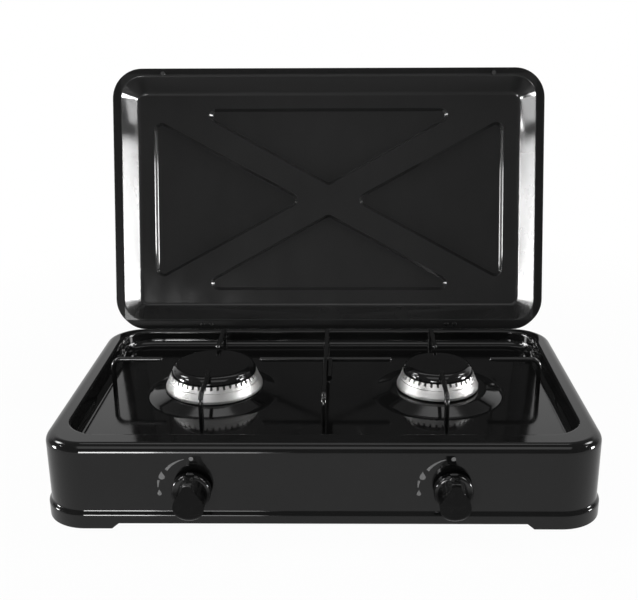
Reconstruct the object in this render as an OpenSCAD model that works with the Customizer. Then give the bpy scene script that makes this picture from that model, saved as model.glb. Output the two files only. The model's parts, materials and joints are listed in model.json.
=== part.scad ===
// Two-burner table stove with a hinged lid.
// A pressed enamel body, ring burners, wire pan supports and push-and-turn taps.
// Sizes in millimetres. The front faces -Y, +X is to the right, +Z is up from the worktop.

/* [Body] */
// width of the pressed body across its walls
body_w = 522; // [490:1:560]
// depth of the pressed body across its walls
body_d = 314.5; // [300:0.5:340]
// height of the rim above the worktop
rim_h = 85; // [80:1:95]
// corner radius of the body in plan
corner_r = 40; // [36:1:46]
// thickness of the enamelled sheet
sheet = 1; // [0.8:0.1:1.2]
// radius of the bend along the outer top edge
edge_r = 9; // [5:0.5:10]
// how far the lower skirt stands out from the wall
skirt_step = 2.5; // [1.5:0.5:4]
// height where the skirt starts to draw in
step_low = 15; // [13:0.5:16]
// height where the skirt meets the wall
step_high = 19; // [18:0.5:21]
// radius of the two bends of that step
step_bend = 4; // [2:0.5:5]
// gap between the worktop and the corner skirt
skirt_gap = 1.5; // [1:0.5:3]
// height of the arches between the corner feet
arch_h = 7; // [5:0.5:10]
// length of each corner foot along the front and back
foot_len = 72; // [62:1:90]
// length of each corner foot along the sides
foot_side = 66; // [60:1:80]
// slant of the arch ends
arch_run = 9; // [4:1:12]

/* [Well] */
// width of the rim beside the well
rim_side = 19; // [17:0.5:21]
// width of the rim in front of the well
rim_front = 26.5; // [24:0.5:30]
// width of the rim behind the well
rim_back = 13.5; // [12:0.5:16]
// corner radius of the well
well_r = 32; // [24:1:38]
// depth of the well floor below the rim
well_deep = 18.5; // [17:0.5:24]
// fillet between the well wall and its floor
well_fillet = 8; // [5:0.5:10]
// radius of the bend between the rim and the well wall
rim_bend = 3; // [2:0.5:4]

/* [Burners] */
// distance of each burner and tap from its side wall
burner_side = 142; // [138:1:147]
// radius of the large burner ring
large_ring_r = 51.2; // [49:0.1:54]
// radius of the small burner ring
small_ring_r = 43.2; // [41:0.1:48]
// number of flame slots in the large ring
large_slots = 44; // [36:1:48]
// number of flame slots in the small ring
small_slots = 36; // [30:1:40]
// outer radius of the raised mound round each burner
mound_r = 69; // [66:1:76]
// radius of the flat top of the mound
mound_top_r = 52; // [51.5:0.5:58]
// height of the mound above the well floor
mound_h = 6; // [3:0.5:7]
// bend radius at the foot and top of the mound
mound_bend = 18; // [10:1:24]
// thickness of the cup flange that seats on the mound
flange_t = 1.2; // [1:0.1:2]
// wall thickness of the burner cup
cup_wall = 2.5; // [2:0.1:3.5]
// height of the cup floor above the worktop
cup_low = 30; // [27:0.5:31]
// height of the burner ring
ring_h = 16.8; // [14:0.2:19]
// depth of the flame slots
slot_deep = 3.3; // [2.5:0.1:4]
// width of the flame slots
slot_w = 2.4; // [1.6:0.1:3]
// how much smaller the cap is than its ring
cap_in = 6.5; // [5:0.25:8]
// height of the cap
cap_h = 8.6; // [8:0.2:10]
// height of the cap's straight side, below its round shoulder
cap_side = 0.8; // [0.5:0.1:1.5]
// outer radius of the mixing tube
tube_r = 9; // [8:0.25:10]
// wall of the mixing tube
tube_wall = 1.2; // [0.8:0.1:1.8]
// outer radius of the bell mouth
mouth_r = 12; // [11.5:0.25:13]
// length of the bell mouth
mouth_len = 8; // [6:0.5:10]

/* [Pan supports] */
// radius of the support wire
wire_r = 2.5; // [2:0.1:3]
// height of the wire middle above the well floor
wire_up = 37; // [34:0.5:40]
// radius of the wire bends, to the middle of the wire
wire_bend = 9; // [7:0.5:12]
// distance from a burner to its side leg
side_leg = 107; // [100:1:108]
// distance from a burner to its front or back leg
long_leg = 96; // [90:1:104]
// distance from a burner to the tips of the side fingers
side_tip = 54; // [48:1:58]
// distance from a burner to the tips of the long fingers
long_tip = 34; // [28:1:40]
// distance from a burner to the inner tips of the cross bars
inner_tip = 49; // [44:1:54]
// length of the short bar beside the middle wire
short_len = 48; // [40:1:56]
// radius of the leg ends that pass through the floor
spigot_r = 1.9; // [1.5:0.1:2]
// length of the leg ends below the floor
spigot_len = 4; // [3:0.5:6]
// outer radius of the push nuts under the floor
nut_r = 6; // [5:0.25:7]
// thickness of the push nuts
nut_t = 1; // [0.8:0.1:1.5]

/* [Lid] */
// angle the lid opens to, from closed
lid_open = 104.3; // [100:0.1:110]
// inside depth of the lid
lid_deep = 21; // [20.5:0.5:26]
// how far the shut lid stands out over the body
lid_over = 0.75; // [0.5:0.25:2]
// corner radius of the lid in plan
lid_r = 36; // [34:1:42]
// width of the lid's flat flange
lid_flange = 10; // [8.5:0.25:11]
// thickness of the hemmed flange
hem_t = 1.6; // [1.4:0.1:2.2]
// how far the slanted lid walls lean in
lid_run = 17; // [14:0.5:20]
// bend radius between the flange and the slanted walls
lid_bend_low = 1.5; // [1:0.25:2.5]
// bend radius between the slanted walls and the panel, inside
lid_bend_top = 6; // [4:0.5:8]
// height of the pressed panels on the lid
press_h = 5; // [2:0.25:6]
// run of the pressed panels' sloping walls
press_run = 3.5; // [2.5:0.25:4.5]
// corner radius of the pressed panels
press_r = 9; // [7:0.5:11]
// distance of the pressed panels from the edge of the lid's flat
press_margin = 18.5; // [17:0.5:26]
// how much shorter the front and back panels are than the lid's flat, at each end
press_cut_x = 43; // [38:1:60]
// distance of the front and back panels' points from the lid's middle
press_in_y = 17; // [12:1:20]
// how much shorter the side panels are than the lid's flat, at each end
press_cut_y = 11; // [9:0.5:20]
// distance of the side panels' points from the lid's middle
press_in_x = 28.5; // [24:0.5:40]
// height of the rubber bumpers under the lid
bumper_h = 2; // [1.5:0.1:3]
// radius of the rubber bumpers
bumper_r = 2.5; // [2:0.25:3]
// distance of the bumpers from the lid's middle
bumper_x = 200; // [150:1:210]

/* [Hinges] */
// distance of each hinge from the middle
hinge_x = 150; // [120:1:180]
// distance of the hinge axis behind the body
hinge_out = 3.7; // [3.5:0.1:4.5]
// distance of the hinge axis below the rim
hinge_down = 6.8; // [6.2:0.1:9]
// radius of the hinge pin
pin_r = 1.5; // [1.2:0.1:1.8]
// radius of the knuckle on the lid strap
knuckle_r = 2.8; // [2.5:0.1:3]
// width of the lid strap
strap_w = 20; // [16:1:28]
// thickness of the lid strap
strap_t = 1.2; // [1:0.1:1.6]
// thickness of the stop toe on the lid strap
toe_t = 1.6; // [1.2:0.1:2]
// thickness of the hinge leaf and its ears
leaf_t = 1.2; // [1:0.1:1.4]
// height of the hinge leaf
leaf_h = 19; // [15:0.5:24]
// width of each wing of the hinge leaf
leaf_wing = 9; // [8:0.5:12]
// radius of the rivets
rivet_r = 1.5; // [1.2:0.1:1.6]
// radius of the rivet heads
rivet_head = 2.8; // [2.4:0.1:3]
// height of the rivet heads
rivet_up = 0.9; // [0.7:0.1:1.2]

/* [Taps] */
// height of the tap axes above the worktop
tap_z = 43.5; // [42:0.5:46]
// radius of the tap body
tap_r = 9; // [8:0.25:10]
// depth from the front wall to the tap body
bonnet_len = 15; // [14:0.5:18]
// length of the tap body
tap_len = 30; // [26:0.5:34]
// radius of the bonnet bore round the spring
bonnet_bore = 7; // [6.75:0.05:7.2]
// radius of the bonnet flange
bonnet_flange_r = 16; // [15.5:0.25:17]
// thickness of the bonnet flange
bonnet_flange_t = 3; // [2.5:0.1:4]
// distance of the bonnet screws from the axis
screw_x = 12; // [11.5:0.1:12.5]
// radius of the screws
screw_r = 1.5; // [1.2:0.1:1.8]
// radius of the screw heads
screw_head = 2.8; // [2.4:0.1:3]
// height of the screw heads
screw_up = 1; // [0.8:0.1:1.3]
// radius of the tap plug at its front
plug_r = 6.5; // [6:0.1:7]
// radius of the tap plug at its back
plug_tip = 5; // [4.5:0.1:5.5]
// length of the tap plug
plug_len = 19; // [16:0.5:21]
// width of the square drive between the stem and plug
drive = 5; // [4.6:0.1:5.2]
// radius of the gas passages
gas_r = 1.5; // [1.2:0.1:2]
// radius of the tap stem
stem_r = 4; // [3.6:0.1:4.4]
// radius of the stem collar
collar_r = 6; // [5.5:0.1:6.3]
// thickness of the stem collar
collar_t = 2; // [1.5:0.1:2.5]
// depth of the flat on the stem
stem_flat = 1; // [0.6:0.1:1.4]
// distance the knob is pushed in to turn
push = 3; // [2:0.5:3]
// radius of the spring wire
spring_wire = 0.45; // [0.35:0.05:0.5]
// radius of the spring to the middle of its wire
spring_r = 5.6; // [5.2:0.1:5.8]
// number of spring curls
spring_curls = 5; // [4:1:5]
// length of the injector
jet_len = 11; // [9:0.5:13]
// width of the injector across its flats
jet_flats = 10; // [8:0.5:12]

/* [Knobs] */
// radius of the knob skirt
knob_r = 18; // [16.5:0.5:20]
// thickness of the knob skirt
knob_skirt = 8; // [5:0.5:9]
// gap between the knob and the front wall
knob_gap = 4.5; // [4.5:0.25:6]
// length of the knob grip in front of its skirt
knob_grip = 15.5; // [12:0.5:18]
// rounding of the skirt's front edge
skirt_round = 3; // [2:0.25:3.5]
// radius of the round lower end of the grip
grip_r = 14; // [12:0.25:15]
// how far the grip's round end sits below the axis
grip_low = 5.5; // [3:0.25:6]
// rounding of the grip's front edge
grip_round = 5; // [3:0.25:6]
// width of the grip's nose
nose_w = 8; // [7:0.25:11]
// height of the grip's nose above the axis
nose_up = 18.5; // [16:0.25:19]
// radius of the finger scoops beside the nose
scoop_r = 16; // [14:0.5:20]

/* [Gas line] */
// radius of the gas pipe
pipe_r = 5; // [4.5:0.1:5.5]
// wall of the gas pipe
pipe_wall = 1; // [0.8:0.1:1.4]
// height of the gas pipe above the worktop
pipe_z = 27; // [26:0.25:28]
// depth of the gas pipe behind the front wall
pipe_in = 27.5; // [26.5:0.5:29]
// distance of the pipe's long run from the side wall
pipe_side = 55; // [52:1:64]
// bend radius of the gas pipe
pipe_bend = 20; // [15:1:26]
// how far the closed end runs past the left tap
pipe_past = 16; // [12:1:24]
// thickness of the pipe clamps
clamp_t = 1.6; // [1.2:0.1:2]
// width of the pipe clamps
clamp_w = 14; // [12:0.5:18]
// radius of the inlet shank
inlet_r = 6.5; // [6.2:0.1:7]
// depth of the inlet shank inside the body
inlet_in = 15; // [12:0.5:18]
// width of the inlet hexagon across its flats
inlet_flats = 17; // [16:0.5:20]
// thickness of the inlet hexagon and its lock nut
inlet_hex = 5; // [4:0.5:7]
// radius of the hose barbs
barb_r = 5.5; // [5:0.25:6.5]
// pitch of the hose barbs
barb_pitch = 7; // [6:0.5:9]
// number of hose barbs
barbs = 3; // [2:1:4]

/* [Feet] */
// radius of the rubber feet
foot_r = 9; // [7:0.5:11]
// radius of the neck of the rubber feet
foot_neck = 4; // [3:0.25:5]
// height of the rubber feet below their plate
foot_h = 6.5; // [5.5:0.5:8]
// thickness of the corner plates
plate_t = 1.5; // [1.2:0.1:2]
// height of the rubber button above the plate
button_h = 2; // [1.5:0.25:3]
// distance of the feet from the corner centres
foot_diag = 20; // [16:0.5:24]

/* [Clearances] */
// radial running clearance of the hinge pins and stems
run_fit = 0.08; // [0.04:0.01:0.1]
// clearance of the tap plug in its cone
plug_fit = 0.05; // [0.03:0.01:0.08]
// sliding clearance of the square drive
drive_fit = 0.1; // [0.06:0.01:0.15]
// clearance of loose holes
hole_fit = 0.3; // [0.2:0.05:0.5]
// gap at the lid's stops
stop_gap = 0.05; // [0.03:0.01:0.1]
// side clearance of the lid straps between the ears
side_fit = 0.4; // [0.3:0.05:0.6]

/* [Hidden] */
$fn = 48;
eps = 0.5;
left = -1;
right = 1;
front_y = -body_d / 2;
back_y = body_d / 2;
well_w = body_w - 2 * rim_side;
well_d = body_d - rim_front - rim_back;
well_y = (rim_front - rim_back) / 2;
well_floor = rim_h - well_deep;
burner_x = body_w / 2 - burner_side;
burner_y = well_y;
pipe_x = body_w / 2 - pipe_side;
mound_top = well_floor + mound_h;
ring_z = mound_top + flange_t;
ring_top = ring_z + ring_h;
cap_top = ring_top + cap_h;
cap_round = cap_h - cap_side;
cap_lip = 0.4;
tooth_z = ring_top - slot_deep;
wire_z = well_floor + wire_up;
neck_out = 7;
bowl_out = 13;
neck_up = 6;
bowl_chamfer = 6;
bowl_rise = 1;
socket_in = 2;
throat_out = 13;
flange_out = 5.5;
mouth_gap = 3;
jet_z = bonnet_len + tap_len;
mouth_z = jet_z + jet_len + mouth_gap;
mouth_y = front_y + mouth_z;
plug_gap = 1.5;
plug_z = bonnet_len + plug_gap;
plug_end = plug_z + plug_len;
collar_z = sheet + bonnet_flange_t + stop_gap;
spring_low = collar_z + collar_t;
spring_gap = 0.1;
drive_in = 3;
drive_gap = 0.5;
drive_rest = drive_in + push + drive_gap;
knob_front = knob_gap + knob_skirt + knob_grip;
knob_floor = 3;
stem_front = knob_front - knob_floor;
pipe_drop = tap_z - pipe_z;
saddle_x = 8;
clamp_screw = pipe_r + clamp_t + screw_head + hole_fit;
clamp_end = clamp_screw + screw_head + hole_fit;
lid_z = rim_h + bumper_h + stop_gap;
lid_top = lid_z + lid_deep + sheet;
wall_lean = sqrt(lid_deep * lid_deep + lid_run * lid_run) / lid_deep * sheet;
lid_edge_in = lid_flange + lid_run * (lid_deep + sheet) / lid_deep - wall_lean;
lid_foot_in = lid_flange + lid_run * hem_t / lid_deep - wall_lean;
bend_steps = 4;
press_steps = 6;
lid_turn = atan2(lid_deep, lid_run);
bend_out = lid_bend_top + sheet;
flat_flange = lid_flange - (lid_bend_low + sheet) * tan(lid_turn / 2);
lid_w = body_w + 2 * lid_over;
lid_d = body_d + 2 * lid_over;
lid_rim = back_y + lid_over;
flat_x = lid_w / 2 - lid_flange - lid_run;
flat_y = lid_d / 2 - lid_flange - lid_run;
press_out_x = flat_x - press_margin;
press_out_y = flat_y - press_margin;
press_half_x = press_out_x - press_cut_x;
press_half_y = press_out_y - press_cut_y;
hinge_y = back_y + hinge_out;
hinge_z = rim_h - hinge_down;
leaf_top = hinge_z - knuckle_r - hole_fit;
leaf_back = back_y + leaf_t;
ear_x = strap_w / 2 + side_fit;
ear_wall = 1.7;
ear_r = pin_r + ear_wall;
pin_lip = 0.9;
pin_head = pin_r + pin_lip;
pin_head_t = 1;
toe_len = (leaf_back + stop_gap - hinge_y + toe_t / 2 * sin(lid_open)) / cos(lid_open);
strap_on = lid_foot_in - lid_bend_low * tan(lid_turn / 2) - hole_fit;
strap_rivet_in = (strap_on + hem_t / 2) / 2;
strap_rivet_y = lid_rim - strap_rivet_in;
wing_x = ear_x + leaf_t + leaf_wing / 2;
rivet_share = 0.6;
rivet_z = leaf_top - leaf_h * rivet_share;
strap_rivet_x = strap_w / 4;
bumper_in = flat_flange - bumper_r;
plate_z = foot_h;
foot_chamfer = 1;
button_out = 1.5;
screw_round = 0.5;
ring_edge = 0.5;
ring_band = 3;
ring_neck = 3.2;
groove_in = 2.4;
groove_low = 3.4;
groove_high = 2.8;
tooth_foot = 3;
tooth_tip = 0.6;
corner_x = body_w / 2 - corner_r;
corner_y = body_d / 2 - corner_r;
foot_off = foot_diag / sqrt(2);
skirt_in = corner_r + skirt_step - sheet;
pipe_y = front_y + pipe_in;
pipe_join = 9;
pipe_end_y = back_y - sheet - inlet_in + pipe_join;
pipe_start_x = -burner_x - pipe_past;
nozzle_bore = 2.5;
barb_step = 1.2;
nozzle_neck = barb_r - barb_step;
hex_across = 2 / sqrt(3);
lid_back_y = hinge_y
    + (lid_edge_in - lid_rim + bend_out * tan(lid_turn / 2) - hinge_y) * cos(lid_open)
    + (lid_top - bend_out - hinge_z) * sin(lid_open)
    + bend_out;
frame_y = (lid_back_y + front_y - knob_front) / 2;

enamel = [0.09, 0.09, 0.1];
steel = [0.62, 0.63, 0.65];
dark_steel = [0.2, 0.2, 0.22];
alloy = [0.8, 0.81, 0.83];
brass = [0.78, 0.62, 0.3];
plastic = [0.05, 0.05, 0.06];
rubber = [0.14, 0.14, 0.14];

// puts a piece drawn about the body's middle into the shared frame
module place() {
    translate([0, -frame_y, 0])
        children();
}

// turns a piece of the closed lid to the open pose
module open_lid() {
    translate([0, hinge_y, hinge_z])
        rotate([-lid_open, 0, 0])
            translate([0, -hinge_y, -hinge_z])
                children();
}

// local frame of a tap: z runs in from the front wall, y runs down
module at_tap(side) {
    translate([side * burner_x, front_y, tap_z])
        rotate([-90, 0, 0])
            children();
}

// repeats a half profile on both sides of a middle block
module both_sides(half, r, z0, z1) {
    for (m = [0, 1])
        mirror([m, 0])
            translate([half - r, 0])
                children();
    translate([-(half - r), z0])
        square([2 * (half - r), z1 - z0]);
}

// solid with rounded plan corners whose walls follow a half profile
module pan_solid(w, d, r, z0, z1) {
    for (sx = [-1, 1])
        for (sy = [-1, 1])
            translate([sx * (w / 2 - r), sy * (d / 2 - r), 0])
                rotate_extrude()
                    children();
    rotate([90, 0, 90])
        linear_extrude(height = w - 2 * r, center = true)
            both_sides(d / 2, r, z0, z1)
                children();
    rotate([90, 0, 0])
        linear_extrude(height = d - 2 * r, center = true)
            both_sides(w / 2, r, z0, z1)
                children();
}

function unit(v) = v / norm(v);

// sliver between a corner and the arc that rounds it; a and b are its sides' directions
module corner_fill(p, a, b, r) {
    u = unit(a);
    w = unit(b);
    half = acos(u * w) / 2;
    mid = p + unit(u + w) * r / sin(half);
    difference() {
        polygon([p, p + u * r / tan(half), mid, p + w * r / tan(half)]);
        translate(mid)
            circle(r);
    }
}

// half profile of the body wall, drawn in by a sheet thickness
module wall_profile(inset, low) {
    r = corner_r - inset;
    top = rim_h - inset;
    e = edge_r - inset;
    foot = [r + skirt_step, low];
    out = [r + skirt_step, step_low];
    in = [r, step_high];
    polygon(concat(
        [[0, low], foot],
        bend_points(foot, out, in, step_bend),
        bend_points(out, in, [r, top], step_bend),
        [[r, top - e], [r - e, top], [0, top]]
    ));
    translate([r - e, top - e])
        circle(e);
}

// half profile of the well, drawn out by a sheet thickness
module well_profile(outset, top) {
    r = well_r + outset;
    low = well_floor - outset;
    f = well_fillet + outset;
    translate([0, low])
        square([r - f, top - low]);
    translate([0, low + f])
        square([r, top - low - f]);
    translate([r - f, low + f])
        circle(f);
}

// bend between the rim and the well wall, for the well's space
module rim_flare(outset, top) {
    bend = rim_bend - outset;
    difference() {
        translate([well_r + outset - eps, rim_h - rim_bend])
            square([bend + eps, top - rim_h + rim_bend]);
        translate([well_r + rim_bend, rim_h - rim_bend])
            circle(bend);
    }
}

module well_space() {
    top = rim_h + eps;
    translate([0, well_y, 0])
        pan_solid(well_w, well_d, well_r, well_floor, top) {
            union() {
                well_profile(0, top);
                rim_flare(0, top);
            }
        }
}

module well_metal() {
    top = rim_h - sheet / 2;
    translate([0, well_y, 0])
        pan_solid(well_w, well_d, well_r, well_floor - sheet, top) {
            union() {
                well_profile(sheet, top);
                rim_flare(sheet, top);
            }
        }
}

// arch between two corner feet, cut along X
module arch(half, reach) {
    rotate([90, 0, 0])
        linear_extrude(height = reach, center = true)
            polygon([
                [-half - arch_run, -eps],
                [-half, arch_h],
                [half, arch_h],
                [half + arch_run, -eps]
            ]);
}

// raised sheet mound round a burner hole
module mound(hole_r) {
    top = [mound_top_r, mound_top];
    foot = [mound_r, well_floor];
    rotate_extrude()
        difference() {
            union() {
                polygon([
                    [hole_r, mound_top - sheet],
                    [mound_top_r, mound_top - sheet],
                    [mound_r, well_floor - sheet],
                    [mound_r + eps, well_floor - sheet],
                    [mound_r + eps, well_floor],
                    foot,
                    top,
                    [hole_r, mound_top]
                ]);
                corner_fill(foot, top - foot, [1, 0], mound_bend);
            }
            corner_fill(top, foot - top, [-1, 0], mound_bend);
        }
}

// where the legs of the pan supports stand
function leg_spots() = [
    [-burner_x - side_leg, burner_y],
    [burner_x + side_leg, burner_y],
    [-burner_x, burner_y - long_leg],
    [burner_x, burner_y - long_leg],
    [-burner_x, burner_y + long_leg],
    [burner_x, burner_y + long_leg],
    [0, burner_y - long_leg],
    [0, burner_y + long_leg]
];

function cup_r(ring_r) = ring_r - bowl_out;

module body_shell() {
    color(enamel)
        place()
            difference() {
                union() {
                    difference() {
                        pan_solid(body_w, body_d, corner_r, skirt_gap, rim_h)
                            wall_profile(0, skirt_gap);
                        pan_solid(body_w, body_d, corner_r, -eps, rim_h - sheet)
                            intersection() {
                                wall_profile(sheet, -eps);
                                square([corner_r + skirt_step, rim_h]);
                            }
                    }
                    well_metal();
                }
                well_space();
                for (b = [[left, large_ring_r], [right, small_ring_r]])
                    translate([b[0] * burner_x, burner_y, well_floor - sheet - eps])
                        cylinder(r = mound_r, h = sheet + mound_h + 2 * eps);
                for (spot = leg_spots())
                    translate([spot[0], spot[1], well_floor - sheet - eps])
                        cylinder(r = spigot_r + run_fit, h = sheet + 2 * eps);
                arch(body_w / 2 - foot_len, body_d + 4 * skirt_step);
                rotate([0, 0, 90])
                    arch(body_d / 2 - foot_side, body_w + 4 * skirt_step);
                for (side = [left, right])
                    at_tap(side) {
                        translate([0, 0, -eps])
                            cylinder(r = stem_r + 2 * hole_fit, h = sheet + 2 * eps);
                        for (s = [-1, 1])
                            translate([s * screw_x, 0, -eps])
                                cylinder(r = screw_r, h = sheet + 2 * eps);
                    }
                for (side = [left, right])
                    for (s = [-1, 1])
                        translate([side * hinge_x + s * wing_x, back_y - sheet - eps, rivet_z])
                            rotate([-90, 0, 0])
                                cylinder(r = rivet_r, h = sheet + 2 * eps);
                translate([pipe_x, back_y - sheet - eps, pipe_z])
                    rotate([-90, 0, 0])
                        cylinder(r = inlet_r + run_fit, h = sheet + 2 * eps);
            }
    color(enamel)
        place()
            for (b = [[left, large_ring_r], [right, small_ring_r]])
                translate([b[0] * burner_x, burner_y, 0])
                    mound(cup_r(b[1]) + hole_fit);
}

// steel plates across the inside of the four corners
module corner_plates() {
    color(dark_steel)
        place()
            for (sx = [-1, 1])
                for (sy = [-1, 1])
                    translate([sx * corner_x, sy * corner_y, plate_z])
                        difference() {
                            intersection() {
                                cylinder(r = skirt_in, h = plate_t);
                                translate([sx > 0 ? 0 : -skirt_in, sy > 0 ? 0 : -skirt_in, 0])
                                    cube([skirt_in, skirt_in, plate_t]);
                            }
                            translate([sx * foot_off, sy * foot_off, -eps])
                                cylinder(r = foot_neck, h = plate_t + 2 * eps);
                        }
}

// rubber foot pushed through a corner plate
module rubber_foot(sx, sy) {
    color(rubber)
        place()
            translate([sx * (corner_x + foot_off), sy * (corner_y + foot_off), 0])
                rotate_extrude()
                    polygon([
                        [0, 0],
                        [foot_r - foot_chamfer, 0],
                        [foot_r, foot_chamfer],
                        [foot_r, foot_h],
                        [foot_neck, foot_h],
                        [foot_neck, foot_h + plate_t],
                        [foot_neck + button_out, foot_h + plate_t],
                        [foot_neck, foot_h + plate_t + button_h],
                        [0, foot_h + plate_t + button_h]
                    ]);
}

module foot_front_left() {
    rubber_foot(-1, -1);
}

module foot_front_right() {
    rubber_foot(1, -1);
}

module foot_back_left() {
    rubber_foot(-1, 1);
}

module foot_back_right() {
    rubber_foot(1, 1);
}

// hinge leaf with two ears, riveted to the back wall
module hinge_leaf(side) {
    half = wing_x + leaf_wing / 2;
    color(dark_steel)
        place()
            translate([side * hinge_x, 0, 0])
                difference() {
                    union() {
                        translate([-half, back_y, leaf_top - leaf_h])
                            cube([2 * half, leaf_t, leaf_h]);
                        for (s = [-1, 1])
                            translate([s * (ear_x + leaf_t / 2), 0, 0])
                                rotate([90, 0, 90])
                                    linear_extrude(height = leaf_t, center = true) {
                                        translate([hinge_y, hinge_z])
                                            circle(ear_r);
                                        polygon([
                                            [back_y, leaf_top - leaf_h],
                                            [leaf_back, leaf_top - leaf_h],
                                            [hinge_y + ear_r, hinge_z],
                                            [hinge_y, hinge_z],
                                            [back_y, hinge_z]
                                        ]);
                                    }
                    }
                    translate([0, hinge_y, hinge_z])
                        rotate([0, 90, 0])
                            cylinder(r = pin_r, h = 2 * half, center = true);
                    for (s = [-1, 1])
                        translate([s * wing_x, back_y - eps, rivet_z])
                            rotate([-90, 0, 0])
                                cylinder(r = rivet_r, h = leaf_t + 2 * eps);
                }
}

module hinge_leaf_left() {
    hinge_leaf(left);
}

module hinge_leaf_right() {
    hinge_leaf(right);
}

// headed hinge pin held in the ears
module hinge_pin(side) {
    reach = ear_x + leaf_t;
    color(steel)
        place()
            translate([side * hinge_x, hinge_y, hinge_z])
                rotate([0, 90, 0]) {
                    cylinder(r = pin_r, h = 2 * reach, center = true);
                    for (m = [0, 1])
                        mirror([0, 0, m])
                            translate([0, 0, reach])
                                cylinder(r = pin_head, h = pin_head_t);
                }
}

module hinge_pin_left() {
    hinge_pin(left);
}

module hinge_pin_right() {
    hinge_pin(right);
}

// rivet along z: shank between two heads
module rivet(low, high) {
    translate([0, 0, low])
        cylinder(r = rivet_r, h = high - low);
    translate([0, 0, high])
        cylinder(r1 = rivet_head, r2 = rivet_head - rivet_up, h = rivet_up);
    translate([0, 0, low - rivet_up])
        cylinder(r1 = rivet_head - rivet_up, r2 = rivet_head, h = rivet_up);
}

module leaf_rivets() {
    color(steel)
        place()
            for (side = [left, right])
                for (s = [-1, 1])
                    translate([side * hinge_x + s * wing_x, back_y, rivet_z])
                        rotate([-90, 0, 0])
                            rivet(-sheet, leaf_t);
}

// cast cup under the floor, with a socket for the mixing tube
module burner_cup(side, ring_r) {
    bowl = cup_r(ring_r);
    neck = ring_r - neck_out;
    socket_y = bowl + tube_r - socket_in;
    color(alloy)
        place()
            translate([side * burner_x, burner_y, 0])
                difference() {
                    union() {
                        rotate_extrude()
                            polygon([
                                [0, cup_low],
                                [bowl - bowl_chamfer, cup_low],
                                [bowl, cup_low + bowl_chamfer],
                                [bowl, mound_top],
                                [ring_r - flange_out, mound_top],
                                [ring_r - flange_out, mound_top + flange_t],
                                [neck, mound_top + flange_t],
                                [neck, ring_z + neck_up],
                                [0, ring_z + neck_up]
                            ]);
                        translate([0, 0, tap_z])
                            rotate([90, 0, 0])
                                cylinder(r = tube_r + cup_wall, h = socket_y);
                    }
                    rotate_extrude()
                        polygon([
                            [0, cup_low + cup_wall],
                            [bowl - bowl_chamfer, cup_low + cup_wall],
                            [bowl - cup_wall, cup_low + bowl_chamfer + bowl_rise],
                            [bowl - cup_wall, mound_top],
                            [neck - cup_wall, ring_z + neck_up],
                            [neck - cup_wall, ring_z + neck_up + eps],
                            [0, ring_z + neck_up + eps]
                        ]);
                    translate([0, 0, tap_z])
                        rotate([90, 0, 0])
                            cylinder(r = tube_r, h = socket_y + eps);
                }
}

module burner_cup_left() {
    burner_cup(left, large_ring_r);
}

module burner_cup_right() {
    burner_cup(right, small_ring_r);
}

// mixing tube with a bell mouth towards the injector
module mixing_tube(side, ring_r) {
    len = burner_y - cup_r(ring_r) + cup_wall - mouth_y;
    color(steel)
        place()
            translate([side * burner_x, mouth_y, tap_z])
                rotate([-90, 0, 0])
                    rotate_extrude()
                        polygon([
                            [mouth_r - tube_wall, 0],
                            [mouth_r, 0],
                            [tube_r, mouth_len],
                            [tube_r, len],
                            [tube_r - tube_wall, len],
                            [tube_r - tube_wall, mouth_len]
                        ]);
}

module mixing_tube_left() {
    mixing_tube(left, large_ring_r);
}

module mixing_tube_right() {
    mixing_tube(right, small_ring_r);
}

// bright ring with a row of flame slots under the cap
module burner_ring(side, ring_r, slots) {
    neck = ring_r - neck_out + run_fit;
    cap_r = ring_r - cap_in;
    throat = ring_r - throat_out;
    color(alloy)
        place()
            translate([side * burner_x, burner_y, 0])
                difference() {
                    rotate_extrude()
                        polygon([
                            [neck, ring_z],
                            [ring_r - ring_edge, ring_z],
                            [ring_r, ring_z + ring_edge],
                            [ring_r, ring_z + ring_band],
                            [cap_r + ring_neck, tooth_z - groove_low],
                            [cap_r + groove_in, tooth_z - groove_low],
                            [cap_r + groove_in, tooth_z - groove_high],
                            [cap_r + tooth_foot, tooth_z - groove_high],
                            [cap_r + tooth_tip, ring_top],
                            [throat, ring_top],
                            [throat, ring_z + neck_up],
                            [neck, ring_z + neck_up]
                        ]);
                    for (i = [0 : slots - 1])
                        rotate([0, 0, (i + 0.5) * 360 / slots])
                            translate([throat - eps, -slot_w / 2, tooth_z])
                                cube([ring_r - throat + eps, slot_w, slot_deep + eps]);
                }
}

module burner_ring_left() {
    burner_ring(left, large_ring_r, large_slots);
}

module burner_ring_right() {
    burner_ring(right, small_ring_r, small_slots);
}

// enamelled cap with a spigot that drops into the ring
module burner_cap(side, ring_r) {
    cap_r = ring_r - cap_in;
    spigot = ring_r - throat_out - hole_fit;
    color(enamel)
        place()
            translate([side * burner_x, burner_y, 0])
                rotate_extrude()
                    difference() {
                        union() {
                            translate([0, ring_top])
                                square([cap_r - cap_round, cap_h]);
                            polygon([
                                [0, ring_top],
                                [cap_r - cap_lip, ring_top],
                                [cap_r, ring_top + cap_lip],
                                [cap_r, cap_top - cap_round],
                                [0, cap_top - cap_round]
                            ]);
                            intersection() {
                                translate([cap_r - cap_round, cap_top - cap_round])
                                    circle(cap_round);
                                translate([0, ring_top])
                                    square([cap_r, cap_h]);
                            }
                            translate([0, ring_top - neck_up])
                                square([spigot, neck_up]);
                        }
                        translate([-cap_r, -cap_top])
                            square([cap_r, 3 * cap_top]);
                        translate([-eps, ring_top - neck_up - eps])
                            square([spigot - cup_wall + eps, neck_up + cap_h / 2 + eps]);
                    }
}

module burner_cap_left() {
    burner_cap(left, large_ring_r);
}

module burner_cap_right() {
    burner_cap(right, small_ring_r);
}

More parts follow.
